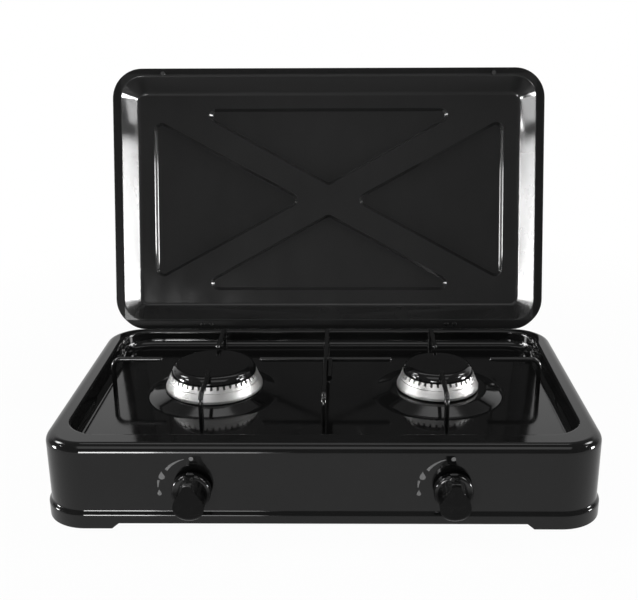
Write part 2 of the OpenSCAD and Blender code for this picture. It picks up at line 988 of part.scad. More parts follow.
// wire leg at the origin: shouldered end, upright and a bend towards +X
module wire_leg() {
    translate([0, 0, well_floor - sheet - spigot_len])
        cylinder(r = spigot_r, h = sheet + spigot_len + eps);
    translate([0, 0, well_floor])
        cylinder(r = wire_r, h = wire_up - wire_bend);
    translate([wire_bend, 0, wire_z - wire_bend])
        rotate([90, 0, 0])
            rotate([0, 0, 90])
                rotate_extrude(angle = 90)
                    translate([wire_bend, 0])
                        circle(wire_r);
}

// leg with a straight finger whose tip lies at a reach from the leg
module wire_finger(reach) {
    wire_leg();
    translate([wire_bend, 0, wire_z])
        rotate([0, 90, 0])
            cylinder(r = wire_r, h = reach - wire_bend - wire_r);
    translate([reach - wire_r, 0, wire_z])
        sphere(wire_r);
}

module support_finger(x, y, turn, reach) {
    color(enamel)
        place()
            translate([x, y, 0])
                rotate([0, 0, turn])
                    wire_finger(reach);
}

module support_side_left() {
    support_finger(-burner_x - side_leg, burner_y, 0, side_leg - side_tip);
}

module support_side_right() {
    support_finger(burner_x + side_leg, burner_y, 180, side_leg - side_tip);
}

module support_front_left() {
    support_finger(-burner_x, burner_y - long_leg, 90, long_leg - long_tip);
}

module support_front_right() {
    support_finger(burner_x, burner_y - long_leg, 90, long_leg - long_tip);
}

module support_back_left() {
    support_finger(-burner_x, burner_y + long_leg, -90, long_leg - long_tip);
}

module support_back_right() {
    support_finger(burner_x, burner_y + long_leg, -90, long_leg - long_tip);
}

// front-to-back wire with a leg at each end
module support_middle() {
    run = 2 * (long_leg - wire_bend);
    color(enamel)
        place()
            translate([0, burner_y, 0]) {
                for (turn = [90, -90])
                    rotate([0, 0, turn])
                        translate([-long_leg, 0, 0])
                            wire_leg();
                translate([0, 0, wire_z])
                    rotate([90, 0, 0])
                        cylinder(r = wire_r, h = run, center = true);
            }
}

// bar from the middle wire towards a burner, saddled to the wire
module support_inner(side) {
    reach = burner_x - inner_tip;
    color(enamel)
        place()
            translate([0, burner_y, wire_z])
                difference() {
                    rotate([0, side * 90, 0]) {
                        cylinder(r = wire_r, h = reach - wire_r);
                        translate([0, 0, reach - wire_r])
                            sphere(wire_r);
                    }
                    rotate([90, 0, 0])
                        cylinder(r = wire_r, h = 4 * wire_r, center = true);
                    translate([-side * wire_r, 0, 0])
                        cube(2 * wire_r, center = true);
                }
}

module support_inner_left() {
    support_inner(left);
}

module support_inner_right() {
    support_inner(right);
}

// short bar welded along the middle wire, against the right cross bar
module support_short_bar() {
    color(enamel)
        place()
            translate([2 * wire_r, burner_y - wire_r, wire_z])
                rotate([90, 0, 0])
                    cylinder(r = wire_r, h = short_len);
}

// push nuts on the leg ends under the floor
module support_nuts() {
    color(steel)
        place()
            for (spot = leg_spots())
                translate([spot[0], spot[1], well_floor - sheet - nut_t])
                    difference() {
                        cylinder(r = nut_r, h = nut_t);
                        translate([0, 0, -eps])
                            cylinder(r = spigot_r, h = nut_t + 2 * eps);
                    }
}

// pipe section that follows the gas line
module gas_run(r) {
    past = r < pipe_r ? eps : 0;
    shut = r < pipe_r ? pipe_wall : 0;
    corner_in = pipe_x - pipe_bend;
    translate([pipe_start_x + shut, pipe_y, pipe_z])
        rotate([0, 90, 0])
            cylinder(r = r, h = corner_in - pipe_start_x - shut);
    translate([corner_in, pipe_y + pipe_bend, pipe_z])
        rotate([0, 0, -90])
            rotate_extrude(angle = 90)
                translate([pipe_bend, 0])
                    circle(r);
    translate([pipe_x, pipe_y + pipe_bend, pipe_z])
        rotate([-90, 0, 0])
            cylinder(r = r, h = pipe_end_y - pipe_y - pipe_bend + past);
}

// gas pipe from the taps round to the inlet
module gas_pipe() {
    color(steel)
        place()
            difference() {
                gas_run(pipe_r);
                gas_run(pipe_r - pipe_wall);
                for (side = [left, right])
                    translate([side * burner_x, pipe_y, pipe_z])
                        cylinder(r = gas_r, h = pipe_r + eps);
            }
}

// inlet through the back wall, with a hexagon and hose barbs outside
module inlet_nozzle() {
    shank = sheet + inlet_in;
    hex_r = inlet_flats / 2 * hex_across;
    color(brass)
        place()
            translate([pipe_x, back_y, pipe_z])
                rotate([-90, 0, 0])
                    difference() {
                        union() {
                            translate([0, 0, -shank])
                                cylinder(r = inlet_r, h = shank);
                            cylinder(r = hex_r, h = inlet_hex, $fn = 6);
                            translate([0, 0, inlet_hex])
                                cylinder(r = nozzle_neck, h = barb_pitch);
                            for (i = [0 : barbs - 1])
                                translate([0, 0, inlet_hex + (i + 0.5) * barb_pitch])
                                    cylinder(r1 = barb_r, r2 = nozzle_neck, h = barb_pitch);
                        }
                        translate([0, 0, -shank - eps])
                            cylinder(r = nozzle_bore, h = 2 * shank + inlet_hex + 2 * barbs * barb_pitch);
                        translate([0, 0, -shank - eps])
                            cylinder(r = pipe_r, h = pipe_end_y - back_y + shank + eps);
                    }
}

// lock nut inside the back wall
module inlet_nut() {
    hex_r = (inlet_flats + 2) / 2 * hex_across;
    color(brass)
        place()
            translate([pipe_x, back_y - sheet - inlet_hex, pipe_z])
                rotate([-90, 0, 0])
                    difference() {
                        cylinder(r = hex_r, h = inlet_hex, $fn = 6);
                        translate([0, 0, -eps])
                            cylinder(r = inlet_r, h = inlet_hex + 2 * eps);
                    }
}

// strap under the pipe that holds it to the tap saddle
module pipe_clamp(side) {
    ear = clamp_end;
    color(steel)
        place()
            at_tap(side)
                translate([0, pipe_drop, pipe_in])
                    difference() {
                        rotate([0, 90, 0])
                            linear_extrude(height = clamp_w, center = true)
                                difference() {
                                    union() {
                                        circle(pipe_r + clamp_t);
                                        translate([-ear, 0])
                                            square([2 * ear, clamp_t]);
                                    }
                                    circle(pipe_r);
                                    translate([-2 * ear, -2 * ear])
                                        square([4 * ear, 2 * ear]);
                                }
                        for (s = [-1, 1])
                            translate([0, -eps, s * clamp_screw])
                                rotate([-90, 0, 0])
                                    cylinder(r = screw_r, h = clamp_t + 2 * eps);
                    }
}

module pipe_clamp_left() {
    pipe_clamp(left);
}

module pipe_clamp_right() {
    pipe_clamp(right);
}

// pan-head screw along z, head at z = 0 and shank upwards
module screw(len) {
    cylinder(r = screw_r, h = len);
    translate([0, 0, -screw_up])
        cylinder(r1 = screw_head - screw_round, r2 = screw_head, h = screw_up);
}

module clamp_screws() {
    color(steel)
        place()
            for (side = [left, right])
                at_tap(side)
                    for (s = [-1, 1])
                        translate([0, pipe_drop + clamp_t, pipe_in + s * clamp_screw])
                            rotate([90, 0, 0])
                                screw(clamp_t + pipe_r);
}

// brass tap body: cone for the plug, saddle on the pipe, seat for the injector
module tap_body(side) {
    ear = clamp_end;
    saddle_z = max(bonnet_len, pipe_in - ear);
    grow = (plug_r - plug_tip) / plug_len;
    color(brass)
        place()
            at_tap(side)
                difference() {
                    union() {
                        translate([0, 0, bonnet_len])
                            cylinder(r = tap_r, h = tap_len);
                        translate([-saddle_x, 0, saddle_z])
                            cube([2 * saddle_x, pipe_drop, pipe_in + ear - saddle_z]);
                    }
                    translate([0, pipe_drop, pipe_in])
                        rotate([0, 90, 0])
                            cylinder(r = pipe_r, h = 4 * saddle_x, center = true);
                    translate([0, 0, bonnet_len - eps])
                        cylinder(
                            r1 = plug_r + plug_fit + grow * (plug_z - bonnet_len + eps),
                            r2 = plug_tip + plug_fit - grow * hole_fit,
                            h = plug_end + hole_fit - bonnet_len + eps
                        );
                    translate([0, 0, plug_end])
                        cylinder(r = gas_r, h = tap_len);
                    translate([0, 0, jet_z - jet_len / 2])
                        cylinder(r = jet_flats / 2 - 1, h = jet_len);
                    translate([0, 0, pipe_in])
                        rotate([-90, 0, 0])
                            cylinder(r = gas_r, h = pipe_drop);
                    for (s = [-1, 1])
                        translate([0, pipe_drop + eps, pipe_in + s * clamp_screw])
                            rotate([90, 0, 0])
                                cylinder(r = screw_r, h = pipe_r + eps);
                }
}

module tap_body_left() {
    tap_body(left);
}

module tap_body_right() {
    tap_body(right);
}

// bonnet screwed behind the front wall; it guides the stem and holds the spring
module tap_bonnet(side) {
    color(steel)
        place()
            at_tap(side)
                difference() {
                    union() {
                        translate([0, 0, sheet])
                            cylinder(r = bonnet_flange_r, h = bonnet_flange_t);
                        translate([0, 0, sheet])
                            cylinder(r = tap_r, h = bonnet_len - sheet);
                    }
                    translate([0, 0, sheet - eps])
                        cylinder(r = stem_r + run_fit, h = bonnet_len);
                    translate([0, 0, sheet + bonnet_flange_t])
                        cylinder(r = bonnet_bore, h = bonnet_len);
                    for (s = [-1, 1])
                        translate([s * screw_x, 0, sheet - eps])
                            cylinder(r = screw_r, h = bonnet_flange_t + 2 * eps);
                }
}

module tap_bonnet_left() {
    tap_bonnet(left);
}

module tap_bonnet_right() {
    tap_bonnet(right);
}

// screws through the front wall into the bonnets
module tap_screws() {
    color(steel)
        place()
            for (side = [left, right])
                at_tap(side)
                    for (s = [-1, 1])
                        translate([s * screw_x, 0, 0])
                            screw(sheet + bonnet_flange_t);
}

// injector in the back of the tap, aimed at the bell mouth
module injector(side) {
    hex_r = jet_flats / 2 * hex_across;
    nose = jet_len * 0.45;
    color(brass)
        place()
            at_tap(side)
                difference() {
                    union() {
                        translate([0, 0, jet_z - jet_len / 2])
                            cylinder(r = jet_flats / 2 - 1, h = jet_len / 2);
                        translate([0, 0, jet_z])
                            cylinder(r = hex_r, h = jet_len - nose, $fn = 6);
                        translate([0, 0, jet_z + jet_len - nose])
                            cylinder(r1 = jet_flats / 2 - 1, r2 = jet_flats / 4, h = nose);
                    }
                    translate([0, 0, jet_z - jet_len])
                        cylinder(r = gas_r, h = 2 * jet_len - 1.5);
                    translate([0, 0, jet_z])
                        cylinder(r = gas_r / 3, h = 2 * jet_len);
                }
}

module injector_left() {
    injector(left);
}

module injector_right() {
    injector(right);
}

// tapered plug that opens and shuts the gas way
module tap_plug(side) {
    hole = drive + 2 * drive_fit;
    color(brass)
        place()
            at_tap(side)
                difference() {
                    translate([0, 0, plug_z])
                        cylinder(r1 = plug_r, r2 = plug_tip, h = plug_len);
                    translate([-hole / 2, -hole / 2, plug_z - eps])
                        cube([hole, hole, drive_rest + eps]);
                    translate([0, 0, pipe_in])
                        cylinder(r = gas_r, h = plug_len);
                    translate([0, 0, pipe_in])
                        rotate([0, -90, 0])
                            cylinder(r = gas_r, h = 2 * plug_r);
                }
}

module tap_plug_left() {
    tap_plug(left);
}

module tap_plug_right() {
    tap_plug(right);
}

// points along the middle of the spring wire
spring_len = plug_z - spring_low - 2 * spring_gap;
spring_steps = 8;
spring_sides = 6;
spring_rings = spring_curls * spring_steps;
spring_pitch = (spring_len - 2 * spring_wire) / spring_curls;
function coil_mid(i) = [
    spring_r * cos(360 * i / spring_steps),
    spring_r * sin(360 * i / spring_steps),
    spring_wire + spring_pitch * i / spring_steps
];
coil_mids = [for (i = [0 : spring_rings]) coil_mid(i)];
coil_gap = min([
    for (i = [0 : spring_rings])
        for (j = [i + spring_steps / 2 : 1 : spring_rings])
            norm(coil_mids[i] - coil_mids[j])
]) - 2 * spring_wire;
echo(spring_gap_to_itself = coil_gap);

// compression spring as one unbroken tube
module coil() {
    points = [
        for (i = [0 : spring_rings])
            for (k = [0 : spring_sides - 1])
                let (
                    a = 360 * i / spring_steps,
                    t = 360 * k / spring_sides,
                    r = spring_r + spring_wire * cos(t)
                )
                [r * cos(a), r * sin(a), coil_mid(i)[2] + spring_wire * sin(t)]
    ];
    walls = [
        for (i = [0 : spring_rings - 1])
            for (k = [0 : spring_sides - 1])
                let (
                    n = (k + 1) % spring_sides,
                    p = i * spring_sides,
                    q = p + spring_sides
                )
                each [[p + k, q + k, q + n], [p + k, q + n, p + n]]
    ];
    last = spring_rings * spring_sides;
    ends = [
        for (k = [1 : spring_sides - 2])
            each [[0, k, k + 1], [last, last + k + 1, last + k]]
    ];
    polyhedron(points, concat(walls, ends));
}

module tap_spring(side) {
    color(steel)
        place()
            at_tap(side)
                translate([0, 0, spring_low + spring_gap])
                    coil();
}

module tap_spring_left() {
    tap_spring(left);
}

module tap_spring_right() {
    tap_spring(right);
}

// stem with a collar, a flat for the knob and a square tail in the plug
module tap_stem(side) {
    tail = plug_z + drive_in - spring_low;
    color(steel)
        place()
            at_tap(side)
                difference() {
                    union() {
                        translate([0, 0, -stem_front])
                            cylinder(r = stem_r, h = stem_front + collar_z);
                        translate([0, 0, collar_z])
                            cylinder(r = collar_r, h = collar_t);
                        translate([-drive / 2, -drive / 2, collar_z])
                            cube([drive, drive, collar_t + tail]);
                    }
                    translate([-stem_r, stem_r - stem_flat, -stem_front - eps])
                        cube([2 * stem_r, stem_r, stem_front - knob_gap + eps]);
                }
}

module tap_stem_left() {
    tap_stem(left);
}

module tap_stem_right() {
    tap_stem(right);
}

// outline of the grip seen from the front, y runs down
module grip_outline() {
    difference() {
        union() {
            translate([0, grip_low])
                circle(grip_r);
            polygon([
                [-grip_r, grip_low],
                [grip_r, grip_low],
                [nose_w / 2, -nose_up],
                [-nose_w / 2, -nose_up]
            ]);
        }
        for (s = [-1, 1])
            translate([s * (nose_w / 2 + scoop_r), -nose_up])
                circle(scoop_r);
    }
}

// disc towards the front with a rounded front edge
module round_disc(r, h, e) {
    rotate([180, 0, 0])
        rotate_extrude() {
            polygon([
                [0, 0],
                [r, 0],
                [r, h - e],
                [r - e, h],
                [0, h]
            ]);
            translate([r - e, h - e])
                circle(e);
        }
}

// knob with a round skirt and a pointer grip
module knob(side) {
    color(plastic)
        place()
            at_tap(side)
                difference() {
                    union() {
                        translate([0, 0, -knob_gap])
                            round_disc(knob_r, knob_skirt, skirt_round);
                        intersection() {
                            translate([0, 0, -knob_front])
                                linear_extrude(height = knob_grip + knob_skirt / 2)
                                    grip_outline();
                            translate([0, 0, -knob_gap])
                                round_disc(grip_low + grip_r + eps, knob_skirt + knob_grip, grip_round);
                        }
                    }
                    difference() {
                        translate([0, 0, -stem_front])
                            cylinder(r = stem_r, h = stem_front);
                        translate([-stem_r, stem_r - stem_flat, -stem_front - eps])
                            cube([2 * stem_r, stem_r, stem_front - knob_gap + eps]);
                    }
                }
}

module knob_left() {
    knob(left);
}

module knob_right() {
    knob(right);
}

// middle of the arc that rounds the corner b
function arc_mid(a, b, c, r) =
    let (u = unit(a - b), w = unit(c - b))
    b + unit(u + w) * r / sin(acos(u * w) / 2);

// points of the bend at the corner b, on the way from a to c
function bend_points(a, b, c, r) =
    let (
        mid = arc_mid(a, b, c, r),
        p = b + unit(a - b) * ((mid - b) * unit(a - b)) - mid,
        q = b + unit(c - b) * ((mid - b) * unit(c - b)) - mid,
        start = atan2(p[1], p[0]),
        turn = atan2(q[1], q[0]) - start,
        sweep = turn > 180 ? turn - 360 : turn < -180 ? turn + 360 : turn
    )
    [for (i = [0 : bend_steps]) let (g = start + sweep * i / bend_steps) mid + r * [cos(g), sin(g)]];

// sharp corners of the lid's four pressed panels, clockwise
function press_corners() = [
    [[0, press_in_y], [-press_half_x, press_out_y], [press_half_x, press_out_y]],
    [[0, -press_in_y], [press_half_x, -press_out_y], [-press_half_x, -press_out_y]],
    [[press_in_x, 0], [press_out_x, press_half_y], [press_out_x, -press_half_y]],
    [[-press_in_x, 0], [-press_out_x, -press_half_y], [-press_out_x, press_half_y]]
];

// clockwise outline of a pressed panel at a distance r from the middles of its corners
function press_ring(mids, r, z) = [
    for (i = [0 : 2])
        let (
            run = mids[(i + 1) % 3] - mids[i],
            back = mids[(i + 2) % 3] - mids[i],
            sweep = 180 - acos(unit(run) * unit(back)),
            heading = atan2(run[1], run[0]) + 90
        )
        for (j = [0 : press_steps])
            let (g = heading + sweep * (1 - j / press_steps))
            [mids[i][0] + r * cos(g), mids[i][1] + r * sin(g), z]
];

// the four pressed panels with sloping walls, from below the panel to their tops
module presses(drop) {
    low = lid_top - drop;
    n = 3 * (press_steps + 1);
    for (c = press_corners()) {
        mids = [for (i = [0 : 2]) arc_mid(c[(i + 2) % 3], c[i], c[(i + 1) % 3], press_r)];
        polyhedron(
            points = concat(
                press_ring(mids, press_r + press_run * eps / press_h, low - eps),
                press_ring(mids, press_r - press_run, low + press_h)
            ),
            faces = concat(
                [[for (i = [0 : n - 1]) n - 1 - i]],
                [[for (i = [0 : n - 1]) n + i]],
                [for (i = [0 : n - 1]) let (k = (i + 1) % n) [i, k, n + k, n + i]]
            )
        );
    }
}

// half profile of the lid's outside, with a rolled edge
module lid_outside() {
    roll = hem_t / 2;
    hem = [lid_r - roll, lid_z + hem_t];
    foot = [lid_r - lid_foot_in, lid_z + hem_t];
    edge = [lid_r - lid_edge_in, lid_top];
    cut = bend_out * tan(lid_turn / 2);
    polygon(concat(
        [[0, lid_z], [lid_r - roll, lid_z], hem],
        bend_points(hem, foot, edge, lid_bend_low),
        [edge + unit(foot - edge) * cut, edge - [cut, 0], [0, lid_top]]
    ));
    translate([lid_r - roll, lid_z + roll])
        circle(roll);
    intersection() {
        translate(edge - [cut, bend_out])
            circle(bend_out);
        square([lid_r, lid_top]);
    }
}

// half profile of the lid's hollow
module lid_hollow() {
    mouth = [lid_r, lid_z];
    foot = [lid_r - lid_flange, lid_z];
    edge = [lid_r - lid_flange - lid_run, lid_z + lid_deep];
    cut = lid_bend_top * tan(lid_turn / 2);
    polygon(concat(
        [[0, lid_z - eps], [lid_r - flat_flange, lid_z - eps]],
        bend_points(mouth, foot, edge, lid_bend_low + sheet),
        [edge + unit(foot - edge) * cut, edge - [cut, 0], [0, lid_z + lid_deep]]
    ));
    intersection() {
        translate(edge - [cut, lid_bend_top])
            circle(lid_bend_top);
        square([lid_r, lid_top]);
    }
}

module lid_pan() {
    color(enamel)
        place()
            open_lid()
                difference() {
                    union() {
                        pan_solid(lid_w, lid_d, lid_r, lid_z, lid_top)
                            lid_outside();
                        presses(0);
                    }
                    pan_solid(lid_w, lid_d, lid_r, lid_z - eps, lid_z + lid_deep)
                        lid_hollow();
                    presses(sheet);
                    for (side = [left, right])
                        for (s = [-1, 1])
                            translate([side * hinge_x + s * strap_rivet_x, strap_rivet_y, lid_z - eps])
                                cylinder(r = rivet_r, h = hem_t + 2 * eps);
                }
}

// strap on the lid flange, curled round the pin, with a stop toe
module lid_strap(side) {
    top = lid_z + hem_t + strap_t;
    color(dark_steel)
        place()
            open_lid()
                difference() {
                    translate([side * hinge_x, 0, 0])
                        rotate([90, 0, 90])
                            linear_extrude(height = strap_w, center = true)
                                difference() {
                                    union() {
                                        translate([lid_rim - strap_on, top - strap_t])
                                            square([hinge_y + knuckle_r - lid_rim + strap_on, strap_t]);
                                        translate([hinge_y + knuckle_r - strap_t, hinge_z])
                                            square([strap_t, top - hinge_z]);
                                        translate([hinge_y, hinge_z])
                                            circle(knuckle_r);
                                        translate([hinge_y, hinge_z - toe_t / 2])
                                            square([toe_len, toe_t]);
                                    }
                                    translate([hinge_y, hinge_z])
                                        circle(pin_r + run_fit);
                                }
                    for (s = [-1, 1])
                        translate([side * hinge_x + s * strap_rivet_x, strap_rivet_y, lid_z])
                            cylinder(r = rivet_r, h = top);
                }
}

module lid_strap_left() {
    lid_strap(left);
}

module lid_strap_right() {
    lid_strap(right);
}

module strap_rivets() {
    color(steel)
        place()
            open_lid()
                for (side = [left, right])
                    for (s = [-1, 1])
                        translate([side * hinge_x + s * strap_rivet_x, strap_rivet_y, lid_z])
                            rivet(0, hem_t + strap_t);
}

// rubber bumpers under the front of the flange
module lid_bumpers() {
    color(rubber)
        place()
            open_lid()
                for (s = [-1, 1])
                    translate([s * bumper_x, bumper_in - lid_rim, lid_z - bumper_h])
                        cylinder(r = bumper_r, h = bumper_h);
}

body_shell();
corner_plates();
foot_front_left();
foot_front_right();
foot_back_left();
foot_back_right();
hinge_leaf_left();
hinge_leaf_right();
hinge_pin_left();
hinge_pin_right();
leaf_rivets();
burner_cup_left();
burner_cup_right();
mixing_tube_left();
mixing_tube_right();
burner_ring_left();
burner_ring_right();
burner_cap_left();
burner_cap_right();
support_side_left();
support_side_right();
support_front_left();
support_front_right();
support_back_left();
support_back_right();
support_middle();
support_inner_left();
support_inner_right();
support_short_bar();
support_nuts();
gas_pipe();
inlet_nozzle();
inlet_nut();
pipe_clamp_left();
pipe_clamp_right();
clamp_screws();
tap_body_left();
tap_body_right();
tap_bonnet_left();
tap_bonnet_right();
tap_screws();
injector_left();
injector_right();
tap_plug_left();
tap_plug_right();
tap_spring_left();
tap_spring_right();
tap_stem_left();
tap_stem_right();
knob_left();
knob_right();
lid_pan();
lid_strap_left();
lid_strap_right();
strap_rivets();
lid_bumpers();
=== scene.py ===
import json
import math

import bpy
from mathutils import Matrix, Vector

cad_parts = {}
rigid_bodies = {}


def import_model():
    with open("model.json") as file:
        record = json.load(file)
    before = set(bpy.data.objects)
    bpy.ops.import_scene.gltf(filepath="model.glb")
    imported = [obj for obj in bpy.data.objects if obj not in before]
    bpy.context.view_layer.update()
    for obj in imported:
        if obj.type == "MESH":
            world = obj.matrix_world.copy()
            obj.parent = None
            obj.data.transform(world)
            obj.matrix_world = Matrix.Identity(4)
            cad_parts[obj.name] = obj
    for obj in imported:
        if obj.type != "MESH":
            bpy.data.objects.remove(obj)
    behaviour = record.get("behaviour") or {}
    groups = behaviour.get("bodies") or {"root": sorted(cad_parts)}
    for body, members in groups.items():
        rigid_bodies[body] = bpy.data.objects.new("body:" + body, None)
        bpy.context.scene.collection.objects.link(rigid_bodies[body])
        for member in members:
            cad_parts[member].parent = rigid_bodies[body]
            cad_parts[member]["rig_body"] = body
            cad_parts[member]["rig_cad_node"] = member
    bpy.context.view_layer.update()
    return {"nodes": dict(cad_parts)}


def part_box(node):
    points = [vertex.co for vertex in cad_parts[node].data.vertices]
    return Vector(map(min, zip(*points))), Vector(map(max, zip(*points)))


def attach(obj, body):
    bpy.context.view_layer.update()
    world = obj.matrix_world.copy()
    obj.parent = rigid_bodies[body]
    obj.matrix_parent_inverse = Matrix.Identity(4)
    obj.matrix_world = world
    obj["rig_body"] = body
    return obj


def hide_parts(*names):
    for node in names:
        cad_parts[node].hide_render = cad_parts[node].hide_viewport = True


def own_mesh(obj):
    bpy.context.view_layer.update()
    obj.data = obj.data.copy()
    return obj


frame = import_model()
nodes = frame["nodes"]
mm = 0.001
sides = ("left", "right")

bodyLow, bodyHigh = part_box("body_shell")
middleY = (bodyLow.y + bodyHigh.y) / 2   # the middle of the pressed body, front to back


class Value:
    # a node's output that takes part in sums
    def __init__(self, board, socket):
        self.board = board
        self.socket = socket

    def sum(self, operation, first, second):
        return self.board.node("ShaderNodeMath", {"operation": operation}, {0: first, 1: second})

    def __add__(self, other):
        return self.sum("ADD", self, other)

    def __radd__(self, other):
        return self.sum("ADD", other, self)

    def __sub__(self, other):
        return self.sum("SUBTRACT", self, other)

    def __rsub__(self, other):
        return self.sum("SUBTRACT", other, self)

    def __mul__(self, other):
        return self.sum("MULTIPLY", self, other)

    def __rmul__(self, other):
        return self.sum("MULTIPLY", other, self)

    def most(self, other):
        return self.sum("MAXIMUM", self, other)

    def least(self, other):
        return self.sum("MINIMUM", self, other)


class Board:
    # one material's or the world's nodes
    def __init__(self, owner):
        owner.use_nodes = True
        self.owner = owner
        self.tree = owner.node_tree
        self.tree.nodes.clear()

    def node(self, kind, settings, inputs, output=0):
        made = self.tree.nodes.new(kind)
        for name, setting in settings.items():
            setattr(made, name, setting)
        for name, entry in inputs.items():
            if isinstance(entry, Value):
                self.tree.links.new(entry.socket, made.inputs[name])
            else:
                made.inputs[name].default_value = entry
        return Value(self, made.outputs[output]) if made.outputs else None

    def place(self, size=(1, 1, 1)):
        spot = self.node("ShaderNodeTexCoord", {}, {}, "Object")
        return self.node("ShaderNodeMapping", {}, {"Vector": spot, "Scale": size})

    # the place along each of the axes
    def along(self, axes):
        spot = self.place()
        return [self.node("ShaderNodeSeparateXYZ", {}, {"Vector": spot}, axis) for axis in axes]

    def noise(self, scale, detail=2.0, size=(1, 1, 1), roughness=0.5):
        return self.node("ShaderNodeTexNoise", {}, {
            "Vector": self.place(size), "Scale": scale, "Detail": detail, "Roughness": roughness})

    def ramp(self, value, low, high):
        return self.node("ShaderNodeMapRange", {"clamp": True}, {
            "Value": value, "From Min": low, "From Max": high, "To Min": 0.0, "To Max": 1.0})

    # 1 between low and high, with a soft edge inside each
    def band(self, value, low, high, soft):
        return self.ramp(value, low, low + soft) - self.ramp(value, high - soft, high)

    def blend(self, share, first, second):
        return self.node("ShaderNodeMix", {"data_type": "RGBA"}, {0: share, 6: first, 7: second}, 2)

    def bump(self, height, distance):
        return self.node("ShaderNodeBump", {}, {
            "Strength": 1.0, "Distance": distance, "Height": height}, "Normal")

    def layer(self, inputs):
        return self.node("ShaderNodeBsdfPrincipled", {}, inputs)

    def finish(self, shader):
        self.node("ShaderNodeOutputMaterial", {}, {"Surface": shader})
        return self.owner

    def skin(self, inputs):
        return self.finish(self.layer(inputs))


def newBoard(name):
    return Board(bpy.data.materials.new(name))


def grey(level, warm=0.0):
    return (level * (1 + warm), level, level * (1 - warm), 1)


# in every look a Noise is scale, detail, stretch and roughness,
# and a Span is the two levels of a pattern that become 0 and 1

# glossy black enamel of the body
enamelLook = {
    "black": 0.0032, "bloom": 0.0048, "gloss": 0.07, "smudge": 0.06, "dust": 0.1, "ior": 1.45,
    "peel": 5e-6, "wave": 2.5e-5, "smearShare": 0.6, "cloudShare": 0.4,
    "cloudNoise": (13, 3), "smearNoise": (46, 4, (1, 1, 0.35), 0.6), "peelNoise": (310, 1.5),
    "waveNoise": (17, 1), "dustNoise": (900, 0.5),
    "cloudSpan": (0.3, 0.7), "smudgeSpan": (0.42, 0.72), "dustSpan": (0.74, 0.8)}


def makeEnamel():
    look = enamelLook
    b = newBoard("enamel")
    cloud = b.noise(*look["cloudNoise"])
    smear = b.noise(*look["smearNoise"])
    peel = b.noise(*look["peelNoise"])
    wave = b.noise(*look["waveNoise"])
    dust = b.ramp(b.noise(*look["dustNoise"]), *look["dustSpan"])
    smudge = b.ramp(smear * look["smearShare"] + cloud * look["cloudShare"], *look["smudgeSpan"])
    rough = look["gloss"] + look["smudge"] * smudge + look["dust"] * dust
    colour = b.blend(b.ramp(cloud, *look["cloudSpan"]), grey(look["black"]), grey(look["bloom"]))
    height = peel * (look["peel"] / look["wave"]) + wave
    return b.skin({"Base Color": colour, "Roughness": rough, "IOR": look["ior"],
                   "Normal": b.bump(height, look["wave"])})


# the lid's sheet, paler than the body's enamel as painted light, its tone varying at random in streaks;
# its flange and its steepest walls are duller, with painted shade on the flange and painted light on the
# wall under the top edge and the press walls
lidLook = {
    # the sheet's two colours are lifted as painted light; the flange's colour is darker as painted shade,
    # and the last colour is painted light for the wall under the top edge and the press walls
    "hazeAndLight": 0.016, "thin": 0.013, "flange": 0.009, "paintedLight": 0.024, "gloss": 0.06, "smudge": 0.04,
    "soft": 0.2, "dull": 0.35, "sheetIor": 1.45, "dullIor": 1.15, "peel": 5e-6, "wave": 2e-5,
    "cloudShare": 0.6, "smearShare": 0.4,
    "cloudNoise": (9, 3), "smearNoise": (40, 4, (1, 0.5, 0.35), 0.6), "waveNoise": (15, 1),
    "peelNoise": (310, 1.5), "hazeSpan": (0.35, 0.65), "smudgeSpan": (0.42, 0.72),
    # width of the flange and of the side walls inside it, depth of the wall under the top edge, which
    # ends before the corners; down from the top, the side walls soften between clean and worn
    "lean": 14.3, "rim": 10 * mm, "fade": 1.2 * mm, "wall": 17 * mm, "corner": 40 * mm,
    "head": 34 * mm, "clean": 78 * mm, "worn": 106 * mm,
    # the steep walls of the two side presses: in from the lid's side and up from its foot
    "pressOut": 46.1 * mm, "pressIn": 48.5 * mm, "pressFade": 0.2 * mm, "pressFrom": 72 * mm,
    "pressTo": 244 * mm}
lidLean = math.radians(lidLook["lean"])


# how far up the leaning lid a point lies
def lidRun(y, z):
    return y * math.sin(lidLean) + z * math.cos(lidLean)


